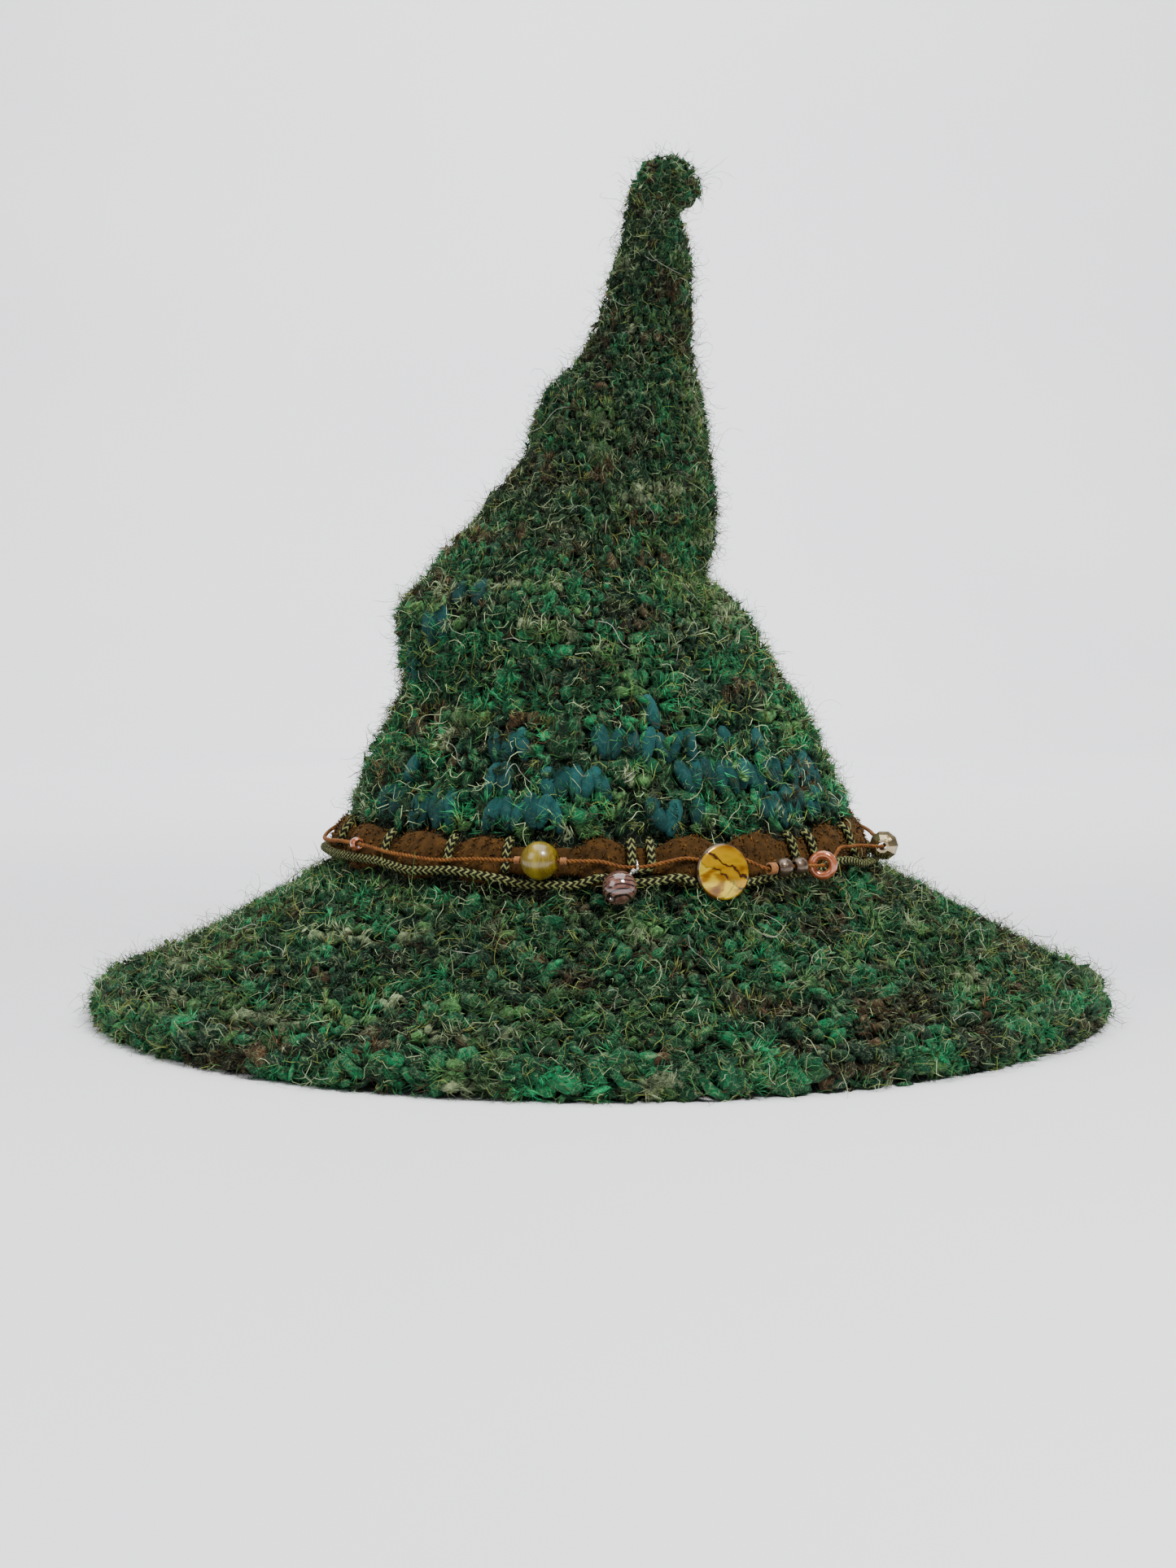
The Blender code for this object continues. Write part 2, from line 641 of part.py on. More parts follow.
def build_striped_bead(collection):
    """The glass bead and the wire eye that hangs it from the rust cord."""
    rows = rust_rows()
    eye = route_point(rows, WIRE_ANGLE)
    hang = Vector(STRIPED_HANG)
    down = hang.normalized()
    glass = make_material("mauve_glass", (0.20, 0.10, 0.095), 0.12)
    profile = bead_profile(STRIPED_DIAMETER, STRIPED_LENGTH, STRIPED_HOLE, 8)
    bead = place(turned(collection, "striped_bead", profile, BEAD_STEPS, glass, True), eye + hang, -down)
    along = (route_point(rows, WIRE_ANGLE + 0.5) - route_point(rows, WIRE_ANGLE - 0.5)).normalized()
    in_eye = (down - along * down.dot(along)).normalized()
    side = along.cross(in_eye)
    points = []
    for k in range(WIRE_EYE_STEPS + 1):
        a = radians(WIRE_EYE_OPEN_DEG + (360 - WIRE_EYE_OPEN_DEG) * k / WIRE_EYE_STEPS)
        points.append(eye + (in_eye * cos(a) + side * sin(a)) * WIRE_EYE)
    points.append(eye + down * (WIRE_EYE + WIRE_NECK))
    points.append(eye + hang + down * (STRIPED_LENGTH / 2 + WIRE_END))
    steel = make_material("silver_wire", (0.62, 0.61, 0.58), 0.25, 1.0)
    wire = cord_curve("bead_wire", points, WIRE_DIAMETER, False, WIRE_SIDES_RESOLUTION)
    return bead, add_object(collection, "bead_wire", wire, steel)


def build_shell_disc(collection):
    """A slightly domed disc with a plain stub behind it."""
    radius = DISC_DIAMETER / 2
    profile = [(0.0, DISC_EDGE / 2 + DISC_DOME)]
    for share in DISC_DOME_SHARES:
        profile.append((radius * share, DISC_EDGE / 2 + DISC_DOME * (1.0 - share * share)))
    profile += [
        (radius, DISC_EDGE * DISC_GIRDLE_SHARE),
        (radius, -DISC_EDGE * DISC_GIRDLE_SHARE),
        (radius * DISC_BACK_SHARE, -DISC_EDGE / 2),
        (DISC_STUB_DIAMETER / 2, -DISC_EDGE / 2),
        (DISC_STUB_DIAMETER / 2, -DISC_EDGE / 2 - DISC_STUB_LENGTH),
        (0.0, -DISC_EDGE / 2 - DISC_STUB_LENGTH),
    ]
    material = make_material("gold_shell", (0.55, 0.27, 0.02), 0.18)
    disc = turned(collection, "shell_disc", profile, DISC_STEPS, material, False)
    outward = band_outward(DISC_ANGLE)
    facing = outward * cos(radians(DISC_TIP_DEG)) + Vector((0.0, 0.0, sin(radians(DISC_TIP_DEG))))
    thick = max(strip_sizes(DISC_ANGLE + side)[1] for side in (-DISC_STUB_HALF_ANGLE, DISC_STUB_HALF_ANGLE))
    stub_corner = DISC_STUB_DIAMETER / 2 * sin(radians(DISC_TIP_DEG))
    out = STRIP_GAP + thick + TOUCH_GAP + DISC_STUB_LENGTH + DISC_EDGE / 2 + stub_corner
    return place(disc, band_point(DISC_ANGLE, DISC_HEIGHT, out), facing)


def build_small_beads(collection):
    """The thread knot, the bronze beads, the copper ring and the small copper bead, all on the rust cord."""
    bronze = make_material("bronze_pearl", (0.12, 0.085, 0.055), 0.3, 0.7)
    thread = make_material("brown_thread", (0.16, 0.06, 0.02), 0.8)
    copper = make_material("salmon_copper", (0.48, 0.14, 0.055), 0.28, 0.3)
    profile = bead_profile(KNOT_DIAMETER, KNOT_LENGTH, STRUNG_HOLE, 4)
    strung(turned(collection, "thread_knot", profile, TINY_BEAD_STEPS, thread, True), KNOT_ANGLE)
    for name, angle, diameter in (
        ("bronze_bead_1", BRONZE_1_ANGLE, BRONZE_1_DIAMETER),
        ("bronze_bead_2", BRONZE_2_ANGLE, BRONZE_2_DIAMETER),
    ):
        profile = bead_profile(diameter, diameter * BRONZE_LENGTH_SHARE, STRUNG_HOLE, 6)
        strung(turned(collection, name, profile, SMALL_BEAD_STEPS, bronze, True), angle)
    bpy.ops.mesh.primitive_torus_add(
        major_radius=(RING_OUTER - RING_THICK) / 2,
        minor_radius=RING_THICK / 2,
        major_segments=RING_SEGMENTS,
        minor_segments=RING_TUBE_SEGMENTS,
    )
    ring = bpy.context.object
    for owner in list(ring.users_collection):
        owner.objects.unlink(ring)
    collection.objects.link(ring)
    ring.name = "copper_ring"
    ring.data.name = "copper_ring"
    ring.data.materials.append(copper)
    ring.data.shade_smooth()
    strung(ring, RING_ANGLE, RING_TURN_DEG)
    profile = bead_profile(COPPER_DIAMETER, COPPER_DIAMETER * COPPER_LENGTH_SHARE, STRUNG_HOLE, 5)
    strung(turned(collection, "copper_bead", profile, TINY_BEAD_STEPS, copper, True), COPPER_ANGLE)


def build_faceted_bead(collection):
    """A cut bead: a flat table round each end of the hole, two rows of facets and a girdle."""
    half, radius = FACETED_LENGTH / 2, FACETED_DIAMETER / 2
    outer = [
        (radius * TABLE_SHARE, half),
        (radius * FACET_SHARE, half * FACET_UP_SHARE),
        (radius, half * GIRDLE_SHARE),
        (radius, -half * GIRDLE_SHARE),
        (radius * FACET_SHARE, -half * FACET_UP_SHARE),
        (radius * TABLE_SHARE, -half),
    ]
    profile = outer + [(STRUNG_HOLE / 2, -half), (STRUNG_HOLE / 2, half)]
    material = make_material("smoky_crystal", (0.16, 0.115, 0.06), 0.08, 0.4)
    bead = turned(collection, "faceted_bead", profile, FACETED_SIDES, material, True, smooth=False)
    return strung(bead, FACETED_ANGLE)


def main():
    collection = start_scene()
    build_crown(collection)
    build_brim(collection)
    build_band_strip(collection)
    braid = make_material("khaki_braid", (0.10, 0.10, 0.04), 0.7)
    build_braided_cord(collection, braid)
    build_wraps(collection, braid)
    build_rust_cord(collection)
    build_olive_bead(collection)
    build_striped_bead(collection)
    build_shell_disc(collection)
    build_small_beads(collection)
    build_faceted_bead(collection)


main()
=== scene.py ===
"""Looks of a hand-knitted wizard hat: boucle knit, fuzz, a pile strip, braided and twisted cords and beads.

Metres, +Z up. Angles round the hat are in degrees from the front (-Y), growing towards +X.
"""

from collections import namedtuple
from math import atan2, cos, hypot, pi, radians, sin, sqrt

import bmesh
import bpy
import numpy as np
from mathutils import Matrix, Vector, noise
from mathutils.bvhtree import BVHTree


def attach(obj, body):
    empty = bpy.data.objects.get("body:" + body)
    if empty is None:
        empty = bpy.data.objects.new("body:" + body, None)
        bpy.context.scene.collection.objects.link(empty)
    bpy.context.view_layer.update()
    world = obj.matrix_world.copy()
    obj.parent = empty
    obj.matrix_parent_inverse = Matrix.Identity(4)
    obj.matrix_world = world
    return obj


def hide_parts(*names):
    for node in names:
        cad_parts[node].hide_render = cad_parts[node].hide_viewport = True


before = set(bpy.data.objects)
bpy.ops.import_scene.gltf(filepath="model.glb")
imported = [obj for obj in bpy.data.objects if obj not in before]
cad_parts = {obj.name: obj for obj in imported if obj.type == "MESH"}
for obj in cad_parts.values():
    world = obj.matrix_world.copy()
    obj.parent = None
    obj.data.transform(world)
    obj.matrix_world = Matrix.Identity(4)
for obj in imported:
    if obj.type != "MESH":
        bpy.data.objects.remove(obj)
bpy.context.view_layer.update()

MM = 0.001
MERGE = 0.01 * MM
FLOOR_CLEAR = 0.25 * MM
UP = Vector((0, 0, 1))
rng = np.random.default_rng(11)
noise.seed_set(11)

# The crown's spine, in millimetres and degrees: x, y, height, turn, reach and width. turn is how far the row
# of stitches has tipped over towards +X, reach is more than the row's radius, and width is a stitch's width.
SPINE = np.array((
    (0.5, 0.0, 79.0, 0, 130, 6.4), (-0.5, 0.5, 94.0, 0, 125, 6.4), (-0.5, 1.0, 114.0, 0, 120, 6.2),
    (-6.5, 2.5, 139.0, 0, 110, 5.8), (-12.0, 4.0, 162.0, 0, 100, 5.4), (-8.0, 5.0, 176.0, 0, 90, 5.2),
    (0.0, 6.5, 191.0, 0, 80, 5.0), (5.0, 7.5, 205.0, 0, 70, 4.9), (8.5, 9.5, 233.0, 0, 55, 4.6),
    (16.5, 10.5, 260.0, 0, 40, 4.3), (18.5, 11.0, 275.0, 0, 34, 4.2), (20.8, 11.0, 289.0, 0, 28, 4.0),
    (20.3, 11.0, 300.0, 0, 20, 3.8), (19.6, 11.0, 308.0, 5, 13, 3.5), (20.3, 10.9, 314.0, 26, 11, 3.3),
    (22.5, 10.7, 318.6, 52, 10.5, 3.2), (26.0, 10.5, 320.2, 88, 10, 3.1), (30.6, 10.2, 317.4, 132, 9.5, 3.0),
    (32.6, 10.0, 312.6, 168, 9, 3.0), (32.8, 9.8, 309.6, 180, 8, 2.8),
))
# Its first rows, which lie below the curl of the peak
LOW_X, LOW_Y, LOW_HEIGHT = SPINE[:12, :3].T
ROW_SHARE = 0.84
HOLLOW_START = 72.0 * MM
HOLLOW_TOP = 235.0 * MM
HOLLOW_WIDTH = 11.0 * MM

# The brim
FOOT_HALF_WIDTH = 98.8 * MM
FOOT_HALF_DEPTH = 106.8 * MM
RIM_ROLL = 6.2 * MM
RIM_RADIUS = 190.0 * MM
BRIM_TOP = 76.0 * MM
BRIM_ROW = 6.3 * MM
BRIM_STITCH = 6.6 * MM
BRIM_START = 3.5 * MM
UNDER_ROW = 8.2 * MM
UNDER_STITCH = 9.0 * MM
UNDER_START = -2.0 * MM
RIM_STITCH = 6.4 * MM
RIM_TURNS_DEG = (74, 40, 6, -24)

# The knit. Above COLUMNS_FROM the tufts stand in columns, and between the heights THIN_PEAK, in millimetres,
# the peak gets so thin that its knops must lie close.
COLUMNS_FROM = 150.0 * MM
THIN_PEAK = (265.0, 295.0)
GROUND_SINK = 3.2 * MM
GROUND_LUMPS = 1.0 * MM
GREEN_KNIT = "green_knit"
# Painted light and shade by height in millimetres, multiplied into the yarn's colour: darker on the brim and
# the tall upper cone, brighter on the lower crown
PAINTED_LIGHT_HEIGHTS = (60.0, 82.0, 118.0, 140.0, 160.0, 205.0)
PAINTED_LIGHT_LEVELS = (0.9, 1.4, 1.34, 1.12, 1.08, 0.6)

# Places where brown yarn comes up, in millimetres and degrees
BrownPatch = namedtuple("BrownPatch", "height angle high wide amount")
BROWN_PATCHES = [BrownPatch(*row) for row in (
    (158.0, -88.0, 16.0, 24.0, 0.55),
    (262.0, 8.0, 26.0, 40.0, 0.16),
    (206.0, 20.0, 16.0, 50.0, 0.14),
    (178.0, -15.0, 9.0, 40.0, 0.16),
    (130.0, 60.0, 14.0, 25.0, 0.2),
    (170.0, 150.0, 22.0, 40.0, 0.25),
)]

# Runs of smooth teal stitches, in millimetres and degrees. share is how much of the run is filled.
TealRun = namedtuple("TealRun", "height start end share")
TEAL_RUNS = [TealRun(*row) for row in (
    (84.0, -62, -50, 0.7), (83.0, -47, -35, 0.9), (83.5, -29, -5, 0.85), (83.0, 8, 18, 0.6),
    (84.0, 33, 76, 0.97), (95.0, -56, -46, 0.5), (95.5, -30, -18, 0.9), (95.0, -14, -2, 0.9),
    (95.5, 16, 62, 0.97), (106.5, -28, -18, 0.8), (107.0, -3, 20, 0.97), (106.5, 28, 40, 0.8),
    (118.0, 3, 12, 0.7), (148.0, -56, -46, 0.9), (160.0, -44, -32, 0.9), (132.0, -72, -64, 0.7),
    (84.0, 118, 150, 0.9), (95.0, 96, 128, 0.8), (84.0, 196, 224, 0.85), (106.0, 170, 204, 0.8),
    (95.0, 250, 272, 0.8),
)]
TEAL_HALF_HEIGHT = 5.6 * MM
LEG_SPACING = 4.7 * MM
LEG_THICK = 4.8 * MM

# Cord routes and sizes of the trim band, the same as the solids'
HEAD_HALF_WIDTH = 96.0 * MM
HEAD_HALF_DEPTH = 104.0 * MM
JOIN_HEIGHT = 68.0 * MM
FOOT_SLOPE = 0.346
STRIP_HEIGHT = 68.0 * MM
STRIP_GAP = 0.7 * MM
STRIP_FULL_HALF = 7.9 * MM
STRIP_FULL_THICK = 5.6 * MM
STRIP_PINCHED_HALF = 4.7 * MM
STRIP_PINCHED_THICK = 3.0 * MM
LOBE_STEPS = (0.09, 0.3, 0.7, 0.91)
Lobe = namedtuple("Lobe", "start end fullness")
FRONT_LOBES = [Lobe(*row) for row in (
    (-50, -32, 0.95), (-32, -18, 0.85), (-18, -5.5, 0.0), (-5.5, 5.5, 1.0), (5.5, 10.5, 0.0),
    (10.5, 26, 1.0), (26, 42, 1.0), (42, 50, 0.0), (50, 66, 0.95), (66, 86, 0.8),
)]
BACK_LOBE_COUNT = 10
BACK_LOBE_FULLNESS = 0.9
PILE_COUNT = 7500
# The strip's own dark brown under its pile, kept darker than the pile as painted shade between the strands
PILE_GROUND_SHADE = (0.055, 0.025, 0.0048)
PILE_COLOR = np.array((0.40, 0.185, 0.036))
PILE_THICK = 0.3 * MM

# Angles in degrees, heights and distances out from the crown's foot in millimetres
CordRow = namedtuple("CordRow", "angle height out")
BRAID_ROUTE = [CordRow(*row) for row in (
    (-50, 65.0, 7.6), (-40, 63.2, 8.3), (-29, 64.4, 8.3), (-21, 62.6, 7.0), (-16.5, 60.6, 6.1),
    (-5, 60.6, 6.2), (0, 63.4, 8.3), (5, 61.8, 7.4), (10, 61.8, 7.4), (15, 63.0, 8.3), (20, 59.6, 6.4),
    (27, 59.6, 6.4), (35, 61.4, 7.1), (46, 61.8, 5.9), (56, 64.2, 8.3), (68, 60.8, 7.3), (82, 60.4, 7.3),
)]
RUST_ROUTE = [CordRow(*row) for row in (
    (-61, 69.8, 9.1), (-55, 69.8, 9.1), (-44, 68.4, 8.9), (-34, 67.6, 8.9), (-24, 68.8, 8.9),
    (-15.5, 69.2, 11.0), (-7.3, 69.2, 11.0), (-1, 69.0, 8.5), (4.5, 67.2, 10.2), (9, 67.2, 10.2),
    (15, 69.6, 8.4), (19, 68.6, 7.8), (27.8, 68.6, 7.8), (31.4, 65.0, 12.5), (41.2, 65.0, 12.5),
    (43.8, 64.4, 12.9), (47.4, 64.4, 12.9), (56, 68.6, 9.0), (66, 68.0, 9.0), (70.5, 66.4, 13.6),
    (79.5, 66.4, 13.6), (88, 68.0, 9.0),
)]
BACK_CORD_ROWS = 8
BACK_BRAID_HEIGHTS = (64.4, 62.4)
BACK_BRAID_OUT = 8.0
BACK_RUST_HEIGHTS = (67.4, 69.2)
BACK_RUST_OUT = 9.3
WRAP_ANGLES = (-50, -32, -19, 43, 49, 66, 108.4, 153.2, 198, 242.8, 287.6)
HITCH_ANGLE = 8.0
HITCH_HALF_ANGLE = 1.9
TOUCH_GAP = 0.3 * MM
BRAID_DIAMETER = 3.4 * MM
BRAID_PITCH = 2.5 * MM
BRAID_COLUMNS = 4
BRAID_SIDES = 10
BRAID_LEAN = 1.3
RUST_DIAMETER = 2.1 * MM
RUST_PLY_DIAMETER = 0.86 * MM
RUST_PITCH = 3.2 * MM
PLY_STEPS = 5
PLY_SIDES = 5

# Beads
STRUNG_HOLE = RUST_DIAMETER + 1.0 * MM
STRIPED_LENGTH = 11.4 * MM
STRIPED_HOLE = 1.7 * MM
STRIPED_HANG = Vector((-6.0 * MM, -7.6 * MM, -6.4 * MM))
WIRE_ANGLE = 6.6
WIRE_EYE = 2.0 * MM
WIRE_DIAMETER = 0.9 * MM
DISC_ANGLE = 23.0
DISC_HEIGHT = 64.5 * MM
DISC_RADIUS = 10.2 * MM
DISC_EDGE = 1.4 * MM
DISC_DOME = 1.5 * MM
DISC_STUB_DIAMETER = 4.4 * MM
DISC_STUB_LENGTH = 3.6 * MM
DISC_TIP = radians(8.0)
RING_ANGLE = 45.7
RING_OUTER = 10.6 * MM
RING_THICK = 3.1 * MM
RING_TURN_DEG = 34.0

# Backdrop and camera, in metres
BACKDROP_HALF_WIDTH = 1.7
BACKDROP_HALF_DEPTH = 3.2
BEND_START = 1.5
BEND_RADIUS = 0.9
CAMERA_RISE = radians(4.5)
CAMERA_DISTANCE = 1.09
CAMERA_AIM = Vector((-0.0045, 0.0, 0.087))
CAMERA_LENS = 65.0
CAMERA_SENSOR = 36.0
Softbox = namedtuple("Softbox", "name place aim size power")
SOFTBOXES = (
    Softbox("key_softbox", (0.6, -1.1, 1.5), (0.0, 0.0, 0.12), 0.5, 50.0),
    Softbox("left_softbox", (-1.3, -0.9, 0.9), (0.0, 0.0, 0.12), 1.0, 11.0),
    Softbox("top_softbox", (0.0, 0.3, 3.2), (0.0, 0.0, 0.12), 3.0, 100.0),
    Softbox("wall_softbox", (0.0, 0.9, 1.5), (0.0, 2.4, 0.8), 1.4, 42.0),
)


def linear(code):
    """Linear RGB of a colour code such as #1c6b45."""
    parts = [int(code[k : k + 2], 16) / 255.0 for k in (1, 3, 5)]
    return np.array([p / 12.92 if p <= 0.04045 else ((p + 0.055) / 1.055) ** 2.4 for p in parts])


EMERALD = linear("#0e5232")
PINE = linear("#0a2f20")
BRIGHT = linear("#146b40")
FOREST = linear("#184527")
SAGE = linear("#426b39")
PALE = linear("#a4b486")
MUSTARD = linear("#7c8744")
BROWN = linear("#46301f")
UMBER = linear("#22160e")
TEAL = linear("#15403f")
# Near black, mixed into the knops' roots as painted shade
PAINTED_ROOT_SHADE = linear("#030805")
STRAY_GREY = np.array((0.50, 0.51, 0.42))


# Materials


class Nodes:
    """A node tree with short ways to add shader nodes to it."""

    def __init__(self, tree):
        self.tree = tree

    def feed(self, node, inputs):
        """Sets or links a node's sockets by their names or numbers. A colour may leave out its alpha."""
        for key, value in inputs.items():
            socket = node.inputs[key]
            if isinstance(value, bpy.types.NodeSocket):
                self.tree.links.new(value, socket)
            elif socket.type == "RGBA":
                socket.default_value = (*value[:3], 1.0)
            else:
                socket.default_value = value

    def add(self, kind, inputs=None, **settings):
        made = self.tree.nodes.new("ShaderNode" + kind)
        for key, value in settings.items():
            setattr(made, key, value)
        self.feed(made, inputs or {})
        return made

    def mix(self, factor, first, second, blend="MIX"):
        inputs = {0: factor, 6: first, 7: second}
        return self.add("Mix", inputs, data_type="RGBA", blend_type=blend).outputs[2]

    def tinted(self, color, tint):
        return self.mix(1.0, color, tint, "MULTIPLY")

    def calc(self, operation, first, second=0.0):
        return self.add("Math", {0: first, 1: second}, operation=operation).outputs[0]

    def times(self, first, second):
        return self.calc("MULTIPLY", first, second)

    def plus(self, first, second):
        return self.calc("ADD", first, second)

    def minus(self, first, second):
        return self.calc("SUBTRACT", first, second)

    def unsigned(self, value):
        return self.calc("ABSOLUTE", value)

    def span(self, value, low, high, to_low=0.0, to_high=1.0):
        return self.add("MapRange", {0: value, 1: low, 2: high, 3: to_low, 4: to_high}).outputs[0]

    def tones(self, value, first, second, low=0.35, high=0.65):
        """The first colour where the value is low, the second where it is high."""
        return self.mix(self.span(value, low, high), first, second)

    def speckle(self, where, scale, detail=3.0, roughness=0.55, distortion=0.0):
        inputs = {"Vector": where, "Scale": scale, "Detail": detail, "Roughness": roughness}
        return self.add("TexNoise", {**inputs, "Distortion": distortion}).outputs["Fac"]

    def stretched(self, where, x, y, z):
        return self.add("Mapping", {"Vector": where, "Scale": (x, y, z)}).outputs[0]

    def split(self, where):
        return self.add("SeparateXYZ", {0: where}).outputs

    def place(self):
        return self.add("TexCoord").outputs["Object"]

    def own_place(self):
        """Coordinates in millimetres that were stored before the shape was placed."""
        return self.add("Attribute", attribute_name="own").outputs["Vector"]

    def route_place(self):
        """How far along a cord in metres, and how far round it from 0 to 1."""
        return self.split(self.add("UVMap").outputs["UV"])


class Look(Nodes):
    """A new material. constants go to the sockets of its shader."""

    def __init__(self, name, constants):
        self.material = bpy.data.materials.new(name)
        self.material.use_nodes = True
        super().__init__(self.material.node_tree)
        self.shader = self.tree.nodes["Principled BSDF"]
        self.feed(self.shader, constants)

    def wear(self, color, **inputs):
        self.feed(self.shader, {"Base Color": color, **inputs})

    def relief(self, height, strength, distance):
        made = self.add("Bump", {"Strength": strength, "Distance": distance, "Height": height})
        self.feed(self.shader, {"Normal": made.outputs["Normal"]})


def wool_grain_group():
    """Uneven dye, combed fibres along each tuft with painted shade between them and painted highlights on
    them, fine hairs lying over it and the relief of all these.
    """
    tree = bpy.data.node_groups.new("wool_grain", "ShaderNodeTree")
    for in_out, kind, labels in (
        ("INPUT", "NodeSocketColor", ("Color", "Hair Color")),
        ("INPUT", "NodeSocketFloat", ("Hair", "Uneven", "Combed")),
        ("OUTPUT", "NodeSocketColor", ("Color",)),
        ("OUTPUT", "NodeSocketFloat", ("Height",)),
    ):
        for label in labels:
            tree.interface.new_socket(label, in_out=in_out, socket_type=kind)
    entry = tree.nodes.new("NodeGroupInput").outputs
    look = Nodes(tree)
    where = look.place()
    combed = look.speckle(look.stretched(look.own_place(), 0.22, 0.95, 0.95), 1.0, 3.0, 0.7, 1.1)
    patches = look.speckle(where, 260.0, 4.0, 0.6)
    fine = look.speckle(where, 1100.0, 4.0, 0.75, 1.2)
    darker = look.tinted(entry["Color"], (0.30, 0.33, 0.32))
    lighter = look.tinted(entry["Color"], (1.75, 1.7, 1.7))
    color = look.mix(entry["Uneven"], entry["Color"], look.tones(patches, darker, lighter, 0.32, 0.68))
    # Painted shade in the gaps between the combed strands, and a painted highlight on them
    painted_groove_shade = look.times(look.span(combed, 0.52, 0.36), entry["Combed"])
    color = look.mix(painted_groove_shade, color, look.tinted(color, (0.12, 0.14, 0.13)))
    painted_strand_highlight = look.times(look.span(combed, 0.55, 0.7), entry["Combed"])
    color = look.mix(painted_strand_highlight, color, look.tinted(color, (1.8, 1.7, 1.65)))
    for scale, share in ((150.0, 1.0), (235.0, 0.6)):
        field = look.speckle(where, scale, 1.0, 0.5, 1.6)
        line = look.span(look.unsigned(look.minus(field, 0.5)), 0.022, 0.006)
        cover = look.times(look.times(line, entry["Hair"]), share)
        color = look.mix(cover, color, entry["Hair Color"])
    lumps = look.plus(look.times(patches, 0.6), fine)
    strands = look.times(look.times(combed, entry["Combed"]), 2.0)
    look.feed(tree.nodes.new("NodeGroupOutput"), {"Color": color, "Height": look.plus(lumps, strands)})
    return tree


WOOL_GRAIN = wool_grain_group()


def yarn_material(name, hair, uneven, combed=0.0, sheen=0.1, relief=1.0, sheen_tint=(0.4, 0.75, 0.5)):
    """Wool whose colour, its dye with painted shade and light, is the piece's own colour attribute."""
    look = Look(name, {
        "Roughness": 0.92, "Sheen Weight": sheen, "Sheen Roughness": 0.4, "Sheen Tint": sheen_tint,
        "Specular IOR Level": 0.15,
    })
    dye_and_painted_shade = look.add("Attribute", attribute_name="yarn").outputs["Color"]
    inputs = {"Color": dye_and_painted_shade, "Hair Color": PALE, "Hair": hair, "Uneven": uneven, "Combed": combed}
    grain = look.add("Group", inputs, node_tree=WOOL_GRAIN).outputs
    look.wear(grain["Color"])
    look.relief(grain["Height"], relief, 0.8 * MM)
    return look.material


def braid_material():
    look = Look("khaki_black_braid", {"Roughness": 0.75, "Specular IOR Level": 0.1})
    route = look.route_place()
    column = look.calc("FRACT", look.times(route["Y"], float(BRAID_COLUMNS)))
    lean = look.times(look.unsigned(look.minus(column, 0.5)), BRAID_LEAN)
    along = look.plus(look.times(route["X"], 1.0 / BRAID_PITCH), lean)
    wave = look.calc("SINE", look.times(along, 2 * pi))
    where = look.place()
    wear = look.speckle(where, 900.0)
    khaki = look.tones(wear, (0.11, 0.12, 0.035), (0.25, 0.26, 0.10))
    black = look.tones(wear, (0.003, 0.003, 0.002), (0.012, 0.011, 0.006))
    look.wear(look.tones(wave, black, khaki, 0.2, 0.5))
    threads = look.speckle(where, 4200.0, 2.0)
    look.relief(look.plus(look.unsigned(wave), look.times(threads, 0.5)), 0.7, 0.25 * MM)
    return look.material


def rust_material():
    look = Look("rust_twist", {"Roughness": 0.6, "Specular IOR Level": 0.25})
    route = look.route_place()
    threads = look.plus(look.times(route["X"], 1.0 / (0.9 * MM)), look.times(route["Y"], 5.0))
    line = look.span(look.calc("SINE", look.times(threads, 2 * pi)), -1.0, 1.0)
    base = look.tones(look.speckle(look.place(), 300.0), (0.13, 0.042, 0.004), (0.27, 0.098, 0.011))
    # Painted shade in the grooves between the twisted threads
    painted_groove_shade = look.times(look.minus(1.0, line), 0.6)
    look.wear(look.mix(painted_groove_shade, base, (0.045, 0.010, 0.002)))
    look.relief(line, 0.6, 0.15 * MM)
    return look.material


def olive_material():
    """Lacquered wood: grain that runs across the hole, a pale streak round its middle that is a painted
    highlight, and small dull marks.
    """
    look = Look("olive_lacquer", {
        "Roughness": 0.35, "Coat Weight": 0.7, "Coat Roughness": 0.07, "Coat IOR": 1.5,
    })
    where = look.own_place()
    grain = look.speckle(look.stretched(where, 0.25, 0.25, 2.2), 1.6, 5.0, 0.6, 0.6)
    base = look.tones(grain, (0.085, 0.052, 0.001), (0.21, 0.145, 0.003), 0.35, 0.66)
    # A pale band round the bead's middle, across the hole: a painted highlight streak
    off = look.unsigned(look.plus(look.split(where)["Z"], look.times(grain, 1.2)))
    color = look.mix(look.span(off, 2.4, 0.2, 0.0, 0.4), base, (0.36, 0.28, 0.018))
    marks = look.span(look.speckle(where, 2.4, 4.0, 0.7), 0.62, 0.75, 0.0, 0.5)
    look.wear(look.mix(marks, color, (0.13, 0.08, 0.01)))
    look.relief(grain, 0.15, 0.2 * MM)
    return look.material


def striped_material():
    """Mauve glass with thin dark swirls over one side and pale flakes under the surface."""
    look = Look("mauve_glass", {
        "Roughness": 0.12, "Coat Weight": 1.0, "Coat Roughness": 0.03, "Specular IOR Level": 0.6,
    })
    where = look.own_place()
    base = look.tones(look.speckle(where, 0.35, 4.0, 0.6), (0.08, 0.032, 0.024), (0.21, 0.105, 0.078))
    swirl = look.add("TexWave", {
        "Vector": look.stretched(where, 0.75, 0.5, 1.15), "Scale": 0.3, "Distortion": 3.0, "Detail": 1.0,
        "Detail Scale": 0.8,
    }, bands_direction="DIAGONAL").outputs["Fac"]
    zone = look.span(look.speckle(where, 0.16, 1.0), 0.36, 0.46)
    striped = look.mix(look.times(look.span(swirl, 0.62, 0.82), zone), base, (0.016, 0.006, 0.006))
    flakes = look.span(look.speckle(where, 1.3, 3.0, 0.7), 0.64, 0.70, 0.0, 0.6)
    look.wear(look.mix(flakes, striped, (0.45, 0.33, 0.28)))
    return look.material


